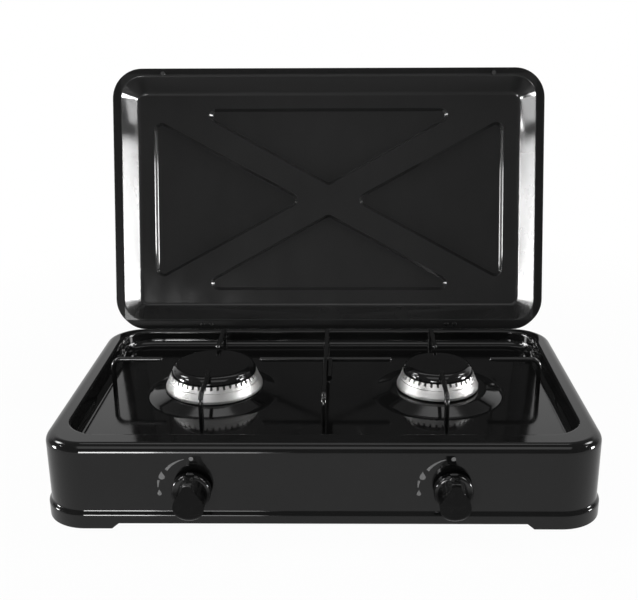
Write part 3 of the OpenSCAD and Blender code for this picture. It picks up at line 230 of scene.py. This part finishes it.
def makeLidEnamel():
    look = lidLook
    rim = look["rim"]
    fade = look["fade"]
    b = newBoard("lid_enamel")
    low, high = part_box("lid_pan")
    foot = lidRun(low.y, low.z)
    top = lidRun(high.y, high.z)
    x, y, z = b.along("XYZ")
    up = lidRun(y, z)
    side = x.most(0 - x)
    flangeIn = high.x - rim
    flange = (b.ramp(side, flangeIn - fade, flangeIn).most(b.ramp(up, top - rim - fade, top - rim))
              .most(1 - b.ramp(up, foot + rim, foot + rim + fade)))
    cloud = b.noise(*look["cloudNoise"])
    smear = b.noise(*look["smearNoise"])
    wave = b.noise(*look["waveNoise"])
    peel = b.noise(*look["peelNoise"])
    wiped = b.ramp(cloud * look["cloudShare"] + smear * look["smearShare"], *look["hazeSpan"])
    # painted light: the sheet's colour is lifted well above the body's enamel, and varies at random
    # between two levels
    hazeAndLight = b.blend(wiped, grey(look["thin"]), grey(look["hazeAndLight"]))
    wallIn = flangeIn - look["wall"]
    wall = (b.ramp(side, wallIn, wallIn + fade) - flange).most(0.0)
    worn = wall * (1 - b.ramp(up, top - look["worn"], top - look["clean"]))
    rough = look["gloss"] + look["smudge"] * b.ramp(smear, *look["smudgeSpan"]) + look["soft"] * worn
    ripple = b.bump(peel * (look["peel"] / look["wave"]) + wave, look["wave"])
    corner = high.x - look["corner"]
    headFoot = top - look["head"]
    # painted light: the wall under the top edge, short of the corners, and the presses' steep walls get a
    # lighter colour
    head = b.ramp(up, headFoot, headFoot + fade) * (1 - b.ramp(side, corner, corner + rim))
    press = (b.band(side, high.x - look["pressIn"], high.x - look["pressOut"], look["pressFade"])
             * b.band(up, foot + look["pressFrom"], foot + look["pressTo"], look["pressFade"]))
    sheet = b.layer({"Base Color": hazeAndLight, "Roughness": rough, "IOR": look["sheetIor"], "Normal": ripple})
    # a duller layer whose colour is painted shade on the flange and painted light on the top wall and the
    # press walls
    steep = b.layer({"Base Color": b.blend(flange, grey(look["paintedLight"]), grey(look["flange"])),
                     "Roughness": look["dull"], "IOR": look["dullIor"], "Normal": ripple})
    return b.finish(b.node("ShaderNodeMixShader", {}, {
        0: flange.most(head).most(press), 1: sheet, 2: steep}))


# the same enamel, baked on wire
wireLook = {"black": 0.004, "rubbed": 0.0064, "gloss": 0.13, "wear": 0.1, "ior": 1.48, "peel": 1.2e-5,
            "peelNoise": (420, 2), "rubNoise": (60, 3), "rubSpan": (0.5, 0.8)}


def makeWireEnamel():
    look = wireLook
    b = newBoard("wire_enamel")
    peel = b.noise(*look["peelNoise"])
    rub = b.ramp(b.noise(*look["rubNoise"]), *look["rubSpan"])
    colour = b.blend(rub, grey(look["black"]), grey(look["rubbed"]))
    rough = look["gloss"] + look["wear"] * rub
    return b.skin({"Base Color": colour, "Roughness": rough, "IOR": look["ior"],
                   "Normal": b.bump(peel, look["peel"])})


# burner caps: enamel on a pressed plate
capLook = {"black": 0.0025, "bloom": 0.00375, "gloss": 0.06, "wear": 0.06, "ior": 1.48, "grain": 4e-6,
           "grainNoise": (700, 2), "cloudNoise": (40, 3)}


def makeCapEnamel():
    look = capLook
    b = newBoard("cap_enamel")
    grain = b.noise(*look["grainNoise"])
    cloud = b.noise(*look["cloudNoise"])
    colour = b.blend(cloud, grey(look["black"]), grey(look["bloom"]))
    rough = look["gloss"] + look["wear"] * cloud
    return b.skin({"Base Color": colour, "Roughness": rough, "IOR": look["ior"],
                   "Normal": b.bump(grain, look["grain"])})


# turned aluminium of the burner rings: fine lines round the axis
ringLook = {
    "bright": 0.66, "dull": 0.54, "warmBright": 0.008, "warmDull": 0.01, "gloss": 0.42, "wear": 0.16,
    "line": 6e-6, "lineShare": 0.5, "cloudShare": 0.5, "lineNoise": (60, 2, (0.4, 0.4, 70)),
    "cloudNoise": (70, 3), "colourSpan": (0.35, 0.65), "wearSpan": (0.3, 0.75)}


def makeRingAlloy():
    look = ringLook
    b = newBoard("ring_alloy")
    lines = b.noise(*look["lineNoise"])
    cloud = b.noise(*look["cloudNoise"])
    share = b.ramp(cloud * look["cloudShare"] + lines * look["lineShare"], *look["colourSpan"])
    colour = b.blend(share, grey(look["dull"], look["warmDull"]), grey(look["bright"], look["warmBright"]))
    rough = look["gloss"] + look["wear"] * b.ramp(lines, *look["wearSpan"])
    return b.skin({"Base Color": colour, "Metallic": 1.0, "Roughness": rough,
                   "Normal": b.bump(lines, look["line"])})


# die-cast alloy of the burner cups and mixing tubes
castLook = {"bright": 0.52, "dull": 0.36, "gloss": 0.42, "wear": 0.15, "grain": 4e-5,
            "grainNoise": (900, 3), "cloudNoise": (35, 4), "cloudSpan": (0.35, 0.65)}


def makeCupAlloy():
    look = castLook
    b = newBoard("cup_alloy")
    grain = b.noise(*look["grainNoise"])
    cloud = b.noise(*look["cloudNoise"])
    colour = b.blend(b.ramp(cloud, *look["cloudSpan"]), grey(look["dull"]), grey(look["bright"]))
    rough = look["gloss"] + look["wear"] * grain
    return b.skin({"Base Color": colour, "Metallic": 1.0, "Roughness": rough,
                   "Normal": b.bump(grain, look["grain"])})


# matt black rubber of the feet and the lid bumpers
rubberLook = {"black": 0.012, "pale": 0.024, "gloss": 0.62, "wear": 0.2, "grain": 5e-5,
              "grainNoise": (1400, 3), "cloudNoise": (80, 3), "cloudSpan": (0.4, 0.7)}


def makeRubber():
    look = rubberLook
    b = newBoard("rubber")
    grain = b.noise(*look["grainNoise"])
    cloud = b.noise(*look["cloudNoise"])
    colour = b.blend(b.ramp(cloud, *look["cloudSpan"]), grey(look["black"]), grey(look["pale"]))
    return b.skin({"Base Color": colour, "Roughness": look["gloss"] + look["wear"] * cloud,
                   "Normal": b.bump(grain, look["grain"])})


# glossy moulded plastic of the knobs, polished above and behind the face, with fine ribs in the scoops
knobLook = {
    "black": 0.003, "pale": 0.0045, "gloss": 0.1, "wear": 0.1, "ior": 1.24,
    "coatIor": 1.5, "coatGloss": 0.06, "coatFrom": 20 * mm, "coatTo": 27 * mm,
    "grain": 6e-6, "rib": 3.5e-4, "ribs": 140, "front": 1.2 * mm, "grip": 14 * mm, "fade": 1 * mm,
    "grainNoise": (500, 2), "smearNoise": (150, 3), "smearSpan": (0.4, 0.75)}


def makeKnobPlastic():
    look = knobLook
    b = newBoard("knob_plastic")
    grain = b.noise(*look["grainNoise"])
    smear = b.ramp(b.noise(*look["smearNoise"]), *look["smearSpan"])
    colour = b.blend(smear, grey(look["black"]), grey(look["pale"]))
    low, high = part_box("knob_left")   # the right one lies as deep and as high
    middle = (low.z + high.z) / 2
    gripBack = low.y + look["grip"]
    y, z = b.along("YZ")
    behind = b.ramp(y, low.y + look["front"] / 2, low.y + look["front"])
    scoop = (behind * (1 - b.ramp(y, gripBack - look["fade"], gripBack))
             * b.ramp(z, middle, middle + look["fade"]))
    ribs = b.node("ShaderNodeTexWave", {"wave_type": "BANDS", "bands_direction": "Y"}, {
        "Vector": b.place(), "Scale": look["ribs"]}, "Fac")
    height = ribs * scoop + grain * (look["grain"] / look["rib"])
    rough = look["gloss"] + look["wear"] * smear
    polish = behind * b.ramp(z, low.z + look["coatFrom"], low.z + look["coatTo"])
    return b.skin({"Base Color": colour, "Roughness": rough, "IOR": look["ior"], "Coat Weight": polish,
                   "Coat IOR": look["coatIor"], "Coat Roughness": look["coatGloss"],
                   "Normal": b.bump(height, look["rib"])})


# turned brass of the taps, injectors and gas inlet
brassLook = {"bright": (0.66, 0.46, 0.19, 1), "dull": (0.47, 0.31, 0.12, 1), "gloss": 0.24, "wear": 0.2,
             "line": 1e-5, "lineNoise": (90, 2, (1, 40, 1)), "tarnishNoise": (60, 4),
             "tarnishSpan": (0.4, 0.7)}


def makeBrass():
    look = brassLook
    b = newBoard("brass")
    lines = b.noise(*look["lineNoise"])
    tarnish = b.ramp(b.noise(*look["tarnishNoise"]), *look["tarnishSpan"])
    colour = b.blend(tarnish, look["bright"], look["dull"])
    rough = look["gloss"] + look["wear"] * tarnish
    return b.skin({"Base Color": colour, "Metallic": 1.0, "Roughness": rough,
                   "Normal": b.bump(lines, look["line"])})


# black painted steel of the hinges and plates
darkLook = {"black": 0.013, "pale": 0.024, "gloss": 0.3, "wear": 0.15, "grain": 3e-5,
            "grainNoise": (650, 3), "cloudNoise": (50, 3), "cloudSpan": (0.4, 0.7)}


def makeDarkSteel():
    look = darkLook
    b = newBoard("dark_steel")
    grain = b.noise(*look["grainNoise"])
    cloud = b.ramp(b.noise(*look["cloudNoise"]), *look["cloudSpan"])
    colour = b.blend(cloud, grey(look["black"]), grey(look["pale"]))
    return b.skin({"Base Color": colour, "Roughness": look["gloss"] + look["wear"] * cloud,
                   "Normal": b.bump(grain, look["grain"])})


# zinc-plated steel of the screws, rivets, pins and springs
zincLook = {"bright": 0.62, "dull": 0.45, "warmDull": 0.02, "gloss": 0.26, "wear": 0.14, "grain": 1.5e-5,
            "grainNoise": (1100, 2), "spangleNoise": (170, 2), "spangleSpan": (0.4, 0.62)}


def makeSteel():
    look = zincLook
    b = newBoard("steel")
    grain = b.noise(*look["grainNoise"])
    spangle = b.ramp(b.noise(*look["spangleNoise"]), *look["spangleSpan"])
    colour = b.blend(spangle, grey(look["bright"]), grey(look["dull"], look["warmDull"]))
    rough = look["gloss"] + look["wear"] * spangle
    return b.skin({"Base Color": colour, "Metallic": 1.0, "Roughness": rough,
                   "Normal": b.bump(grain, look["grain"])})


# pale grey print on the front
printLook = {"grey": 0.15, "pale": 0.2, "gloss": 0.4, "wear": 0.1, "grainNoise": (1500, 2),
             "grainSpan": (0.35, 0.65)}


def makePrint():
    look = printLook
    b = newBoard("front_print")
    grain = b.noise(*look["grainNoise"])
    colour = b.blend(b.ramp(grain, *look["grainSpan"]), grey(look["grey"]), grey(look["pale"]))
    return b.skin({"Base Color": colour, "Roughness": look["gloss"] + look["wear"] * grain})


finishes = {
    "enamel": makeEnamel(), "wire_enamel": makeWireEnamel(), "cap_enamel": makeCapEnamel(),
    "ring_alloy": makeRingAlloy(), "cup_alloy": makeCupAlloy(), "rubber": makeRubber(),
    "knob_plastic": makeKnobPlastic(), "brass": makeBrass(), "dark_steel": makeDarkSteel(),
    "steel": makeSteel(),
}
frontPrint = makePrint()
lidEnamel = makeLidEnamel()
print("finishes", len(finishes))

# how the names of the nodes with each finish start; what isn't named is plated steel
finishOf = {
    "body_shell": "enamel", "lid_pan": "enamel", "support_nuts": "steel", "support_": "wire_enamel",
    "burner_cap": "cap_enamel", "burner_ring": "ring_alloy", "burner_cup": "cup_alloy",
    "mixing_tube": "cup_alloy", "foot_": "rubber", "lid_bumpers": "rubber", "knob": "knob_plastic",
    "tap_body": "brass", "tap_plug": "brass", "injector": "brass", "inlet": "brass",
    "hinge_leaf": "dark_steel", "lid_strap": "dark_steel", "corner_plates": "dark_steel",
}


def slotFor(name):
    for start, slot in finishOf.items():
        if name.startswith(start):
            return slot
    return "steel"


def dress(piece, look):
    piece.data.materials.clear()
    piece.data.materials.append(look)


for name, piece in nodes.items():
    dress(piece, finishes[slotFor(name)])
dress(nodes["lid_pan"], lidEnamel)
dress(nodes["strap_rivets"], lidEnamel)   # painted over with the lid
print("dressed", len(nodes), "nodes")


def onlyThis(piece):
    bpy.ops.object.select_all(action="DESELECT")
    bpy.context.view_layer.objects.active = piece
    piece.select_set(True)


copyLook = {"merge": 0.002 * mm, "flat": 0.3}   # closer points and faces within this angle become one


# a merged copy of a node, which stands for it
def plainCopy(node, ending):
    onlyThis(nodes[node])
    bpy.ops.object.duplicate(linked=False)
    piece = bpy.context.active_object
    bpy.ops.object.parent_clear(type="CLEAR")
    body = piece["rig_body"]
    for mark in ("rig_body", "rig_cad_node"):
        del piece[mark]
    piece.name = node + ending
    onlyThis(piece)
    bpy.ops.mesh.customdata_custom_splitnormals_clear()
    bpy.ops.object.mode_set(mode="EDIT")
    bpy.ops.mesh.select_all(action="SELECT")
    bpy.ops.mesh.remove_doubles(threshold=copyLook["merge"])
    bpy.ops.object.mode_set(mode="OBJECT")
    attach(piece, body)
    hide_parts(node)
    return piece


# the same, its sharp edges rounded
def roundedCopy(node, width, segments, sharp, smooth):
    piece = plainCopy(node, "_rounded")
    bpy.ops.object.mode_set(mode="EDIT")
    bpy.ops.mesh.select_all(action="SELECT")
    bpy.ops.mesh.dissolve_limited(angle_limit=math.radians(copyLook["flat"]))
    bpy.ops.mesh.select_all(action="DESELECT")
    bpy.ops.mesh.select_mode(type="EDGE")
    bpy.ops.mesh.edges_select_sharp(sharpness=math.radians(sharp))
    bpy.ops.mesh.bevel(offset=width, offset_type="OFFSET", segments=segments, affect="EDGES",
                       clamp_overlap=True)
    bpy.ops.object.mode_set(mode="OBJECT")
    bpy.ops.object.shade_smooth_by_angle(angle=math.radians(smooth))
    flow = piece.modifiers.new("flow", "WEIGHTED_NORMAL")
    flow.keep_sharp = True
    bpy.ops.object.modifier_apply(modifier=flow.name)
    return piece


# width of the rounding, its steps, the angle from which an edge is rounded, the angle shaded smooth
roundEdges = {"lid": (1.2 * mm, 3, 30, 24), "knob": (0.9 * mm, 3, 35, 40), "hinge": (0.25 * mm, 2, 35, 35)}
lidSheet = roundedCopy("lid_pan", *roundEdges["lid"])
for node, edges in (("knob_", "knob"), ("hinge_leaf_", "hinge"), ("lid_strap_", "hinge")):
    for side in sides:
        roundedCopy(node + side, *roundEdges[edges])

# the lower edge of the lid's flange is turned over once more
hem = {"deep": 1.4 * mm, "from": 9 * mm}
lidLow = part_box("lid_pan")[0]
downLid = Vector((0, -math.sin(lidLean), -math.cos(lidLean)))
for vertex in lidSheet.data.vertices:
    share = 1 - (lidRun(vertex.co.y, vertex.co.z) - lidRun(lidLow.y, lidLow.z)) / hem["from"]
    if share > 0:
        vertex.co += downLid * hem["deep"] * share
print("rounded the lid, the knobs and the hinges")


# a left piece again on the right, with its own mesh, as far off as the nodes of that name are apart
def copyRight(piece, name, node):
    onlyThis(piece)
    bpy.ops.object.duplicate(linked=False)
    again = bpy.context.active_object
    again.name = name
    again.data.name = name
    again.location.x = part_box(node + "right")[0].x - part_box(node + "left")[0].x
    bpy.ops.object.transform_apply(location=True, rotation=True, scale=True)
    return again


# a raised index on top of each knob's skirt
indexSize = {"wide": 8 * mm, "deep": 3.6 * mm, "tall": 5 * mm, "rise": 0.9 * mm, "back": 4.6 * mm,
             "round": 1.7 * mm, "steps": 4, "smooth": 40}


def makeIndex(name):
    low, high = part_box("knob_left")
    middle = ((low.x + high.x) / 2, high.y - indexSize["back"],
              high.z + indexSize["rise"] - indexSize["tall"] / 2)
    bpy.ops.object.select_all(action="DESELECT")
    bpy.ops.mesh.primitive_cube_add(size=1, location=middle)
    index = bpy.context.active_object
    index.name = name
    index.data.name = name
    index.scale = (indexSize["wide"], indexSize["deep"], indexSize["tall"])
    bpy.ops.object.transform_apply(location=True, rotation=True, scale=True)
    rounding = index.modifiers.new("rounding", "BEVEL")
    rounding.width = indexSize["round"]
    rounding.segments = indexSize["steps"]
    bpy.ops.object.modifier_apply(modifier=rounding.name)
    bpy.ops.object.shade_smooth_by_angle(angle=math.radians(indexSize["smooth"]))
    dress(index, finishes["knob_plastic"])
    return index


leftIndex = makeIndex("knob_index_left")
rightIndex = copyRight(leftIndex, "knob_index_right", "knob_")
for side, index in zip(sides, (leftIndex, rightIndex)):
    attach(index, side + "_knob")
print("indexed the knobs")

# return springs, as merged copies shaded smooth
springTravel = {"keep": 0.7, "seat": 0.16 * mm, "smooth": 50}
for side in sides:
    coil = plainCopy("tap_spring_" + side, "_coil")
    bpy.ops.object.shade_smooth_by_angle(angle=math.radians(springTravel["smooth"]))
    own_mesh(coil)
print("coiled the springs")


# marks printed on the front, in millimetres from the knob's axis and degrees from its top:
# a dot, a swelling arc, a short arc, a large and a small flame (across, up, half width, height, steps)
markSize = {
    "dot": 2.1, "dotUp": 28.9, "steps": 24,
    "arc": 29.2, "arcFrom": 13, "arcTo": 53, "thin": 0.5, "thick": 2.9,
    "shortArc": 31.6, "shortFrom": 77, "shortTo": 90, "shortThick": 2.3, "shortThin": 0.8, "shortSteps": 8,
    "bigFlame": (-27.7, 12.4, 3.1, 9.0, 28), "smallFlame": (-30.7, -5.2, 2.1, 6.6, 24),
    "belly": 1.18, "taper": 1.4, "layer": 0.06, "skirt": 2.5}


def dotOutline(radius, up, steps):
    turns = [2 * math.pi * i / steps for i in range(steps)]
    return [(radius * math.sin(turn), up + radius * math.cos(turn)) for turn in turns]


def arcOutline(radius, start, stop, first, last, steps):
    outer, inner = [], []
    for i in range(steps + 1):
        share = i / steps
        turn = math.radians(start + (stop - start) * share)
        half = (first + (last - first) * share) / 2
        outer.append((-(radius + half) * math.sin(turn), (radius + half) * math.cos(turn)))
        inner.append((-(radius - half) * math.sin(turn), (radius - half) * math.cos(turn)))
    return outer + inner[::-1]


def flameOutline(x, z, half, tall, steps):
    points = []
    for i in range(steps):
        turn = 2 * math.pi * i / steps
        up = math.cos(turn)
        wide = math.sin(turn) * (math.sin((1 - up) * math.pi / 4) ** markSize["taper"])
        points.append((x + half * markSize["belly"] * wide, z + tall / 2 * up))
    return points


def printMarks(name):
    s = markSize
    low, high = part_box("tap_stem_left")
    frontWall = bodyLow.y + s["skirt"] * mm   # the skirt stands out past the wall
    outlines = [
        dotOutline(s["dot"], s["dotUp"], s["steps"]),
        arcOutline(s["arc"], s["arcFrom"], s["arcTo"], s["thin"], s["thick"], s["steps"]),
        arcOutline(s["shortArc"], s["shortFrom"], s["shortTo"], s["shortThick"], s["shortThin"],
                   s["shortSteps"]),
        flameOutline(*s["bigFlame"]),
        flameOutline(*s["smallFlame"])]
    curve = bpy.data.curves.new(name, "CURVE")
    curve.dimensions = "2D"
    curve.fill_mode = "BOTH"
    curve.extrude = s["layer"] / 2 * mm
    for outline in outlines:
        line = curve.splines.new("POLY")
        line.points.add(len(outline) - 1)
        line.use_cyclic_u = True
        for point, (x, z) in zip(line.points, outline):
            point.co = (x * mm, z * mm, 0, 1)
    piece = bpy.data.objects.new(name, curve)
    bpy.context.scene.collection.objects.link(piece)
    onlyThis(piece)
    bpy.ops.object.convert(target="MESH")
    piece = bpy.context.active_object
    piece.rotation_euler = (math.pi / 2, 0, 0)
    piece.location = ((low.x + high.x) / 2, frontWall - s["layer"] / 2 * mm, (low.z + high.z) / 2)
    bpy.ops.object.transform_apply(location=True, rotation=True, scale=True)
    piece.data.name = name
    dress(piece, frontPrint)
    return piece


leftMarks = printMarks("front_marks_left")
rightMarks = copyRight(leftMarks, "front_marks_right", "tap_stem_")
for piece in (leftMarks, rightMarks):
    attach(piece, "stove_body")
print("printed the marks")


# a floor that is white to the camera, a little shaded near the stove and dimmer to what mirrors it
stageLook = {"floor": 0.8, "near": 0.97, "nearTo": 0.42, "whiteFrom": 0.95, "mirrored": 0.66,
             "radius": 7.0, "corners": 96, "drop": 0.3 * mm}


def makeFloor():
    look = stageLook
    b = newBoard("pale_floor")
    ray = {name: b.node("ShaderNodeLightPath", {}, {}, name)
           for name in ("Is Camera Ray", "Is Glossy Ray", "Is Transmission Ray")}
    spot = b.node("ShaderNodeTexCoord", {}, {}, "Object")
    away = b.node("ShaderNodeVectorMath", {"operation": "LENGTH"}, {0: spot}, "Value")
    white = look["near"] + (1 - look["near"]) * b.ramp(away, look["nearTo"], look["whiteFrom"])
    seen = (ray["Is Camera Ray"] + ray["Is Transmission Ray"]).least(1.0)
    plain = b.node("ShaderNodeBsdfDiffuse", {}, {"Color": grey(look["floor"])})
    glow = b.node("ShaderNodeEmission", {}, {"Color": grey(1.0), "Strength": 1.0})
    mirrorGlow = b.node("ShaderNodeEmission", {}, {"Color": grey(look["mirrored"]), "Strength": 1.0})
    lit = b.node("ShaderNodeMixShader", {}, {0: seen * white, 1: plain, 2: glow})
    return b.finish(b.node("ShaderNodeMixShader", {}, {0: ray["Is Glossy Ray"], 1: lit, 2: mirrorGlow}))


bpy.ops.object.select_all(action="DESELECT")
bpy.ops.mesh.primitive_circle_add(vertices=stageLook["corners"], radius=stageLook["radius"],
                                  fill_type="NGON", location=(0, 0, -stageLook["drop"]))
floor = bpy.context.active_object
floor.name = "floor"
dress(floor, makeFloor())

# a white backdrop for the camera, a dim room for what the enamel mirrors
roomLook = {"room": 0.2, "behindCamera": 0.18, "backdrop": 0.8,
            "aheadSpan": (0.3, 0.6), "highSpan": (0.5, 0.6), "behindSpan": (0.4, 0.8)}


def makeRoom():
    look = roomLook
    world = bpy.data.worlds.new("room")
    bpy.context.scene.world = world
    b = Board(world)
    spot = b.node("ShaderNodeTexCoord", {}, {}, "Generated")
    ahead, above = (b.node("ShaderNodeSeparateXYZ", {}, {"Vector": spot}, axis) for axis in "YZ")
    camera = b.node("ShaderNodeLightPath", {}, {}, "Is Camera Ray")
    back = b.ramp(ahead, *look["aheadSpan"]) * (1 - b.ramp(above, *look["highSpan"]))
    behind = b.ramp(0 - ahead, *look["behindSpan"])
    level = (look["room"] + (look["backdrop"] - look["room"]) * back
             + (look["behindCamera"] - look["room"]) * behind)
    shown = b.node("ShaderNodeBackground", {}, {"Color": grey(1.0), "Strength": level.most(camera)})
    b.node("ShaderNodeOutputWorld", {}, {"Surface": shown})


makeRoom()
print("floor and room")

# lamps in pairs, given for the right: place, aim, size, power left and right, how far the beam fans out
lampPairs = {
    "side": {"at": (1.6, -0.05, 0.22), "to": (-0.25, 0.15, 0.25), "size": (0.6, 0.5),
             "watts": (1.8, 1.8), "fan": 24},
    "tip": {"at": (1.6, 0.2, 0.76), "to": (-0.25, 0.2, 0.35), "size": (0.4, 0.16),
            "watts": (0.4, 0.4), "fan": 24},
    "glint": {"at": (1.4, -0.3, 0.9), "to": (0, 0.05, 0.08), "size": (0.3, 0.14),
              "watts": (0.063, 0.063), "fan": 16},
    "edge": {"at": (1.19, 0.2, 1.15), "to": (0, -0.21, 0.05), "size": (0.4, 0.9),
             "watts": (0.33, 0.23), "fan": 20},
}
lamps = {
    "high_front": {"at": (0, -0.85, 1.35), "to": (0, -0.05, 0.08), "size": (1.6, 0.7), "watts": 3.8},
    "high_back": {"at": (0, 0.62, 1.75), "to": (0, -0.1, 0.08), "size": (1.5, 0.36), "watts": 2.4},
    "low_left": {"at": (-0.66, -1.95, 0.22), "to": (-0.15, -0.1, 0.1), "size": (0.3, 0.4), "watts": 11},
    "low_middle": {"at": (-0.36, -1.95, 0.22), "to": (-0.1, -0.1, 0.1), "size": (0.3, 0.4), "watts": 2.4},
}


def hangLamp(name, at, to, size, watts, fan=180):
    light = bpy.data.lights.new(name, "AREA")
    light.shape = "RECTANGLE"
    light.size, light.size_y = size
    light.energy = watts
    light.spread = math.radians(fan)
    holder = bpy.data.objects.new(name, light)
    bpy.context.scene.collection.objects.link(holder)
    holder.location = at
    holder.rotation_euler = (Vector(to) - Vector(at)).to_track_quat("-Z", "Y").to_euler()
    holder.visible_camera = False


for name, pair in lampPairs.items():
    for side, hand, watts in zip(sides, (-1, 1), pair["watts"]):
        at, to = ((hand * x, y, z) for x, y, z in (pair["at"], pair["to"]))
        hangLamp(name + "_" + side, at, to, pair["size"], watts, pair["fan"])
for name, lamp in lamps.items():
    hangLamp(name, **lamp)
print("lamps", list(lampPairs), list(lamps))

# the camera: place in millimetres from the worktop under the body's middle, turns in degrees
cameraLook = {"lens": 53.1, "frame": 36, "far": 100, "at": (22.2, -919.6, 477.6), "pitch": 18.39,
              "yaw": -0.75, "roll": -0.27, "shift": -0.0249}


def makeCamera():
    data = bpy.data.cameras.new("camera")
    data.sensor_fit = "HORIZONTAL"
    data.sensor_width = cameraLook["frame"]
    data.lens = cameraLook["lens"]
    data.shift_x = cameraLook["shift"]
    data.clip_end = cameraLook["far"]
    holder = bpy.data.objects.new("camera", data)
    bpy.context.scene.collection.objects.link(holder)
    pitch, yaw, roll = (math.radians(cameraLook[key]) for key in ("pitch", "yaw", "roll"))
    ahead = Vector((math.sin(yaw) * math.cos(pitch), math.cos(yaw) * math.cos(pitch), -math.sin(pitch)))
    side = Vector((math.cos(yaw), -math.sin(yaw), 0))
    up = side.cross(ahead)
    turnedSide = side * math.cos(roll) + up * math.sin(roll)
    turnedUp = up * math.cos(roll) - side * math.sin(roll)
    spot = Vector(cameraLook["at"]) * mm + Vector((0, middleY, 0))
    turn = Matrix((turnedSide, turnedUp, -ahead)).transposed()
    holder.matrix_world = Matrix.Translation(spot) @ turn.to_4x4()
    bpy.context.scene.camera = holder


makeCamera()
bpy.context.scene.view_settings.view_transform = "Standard"

bpy.context.view_layer.update()
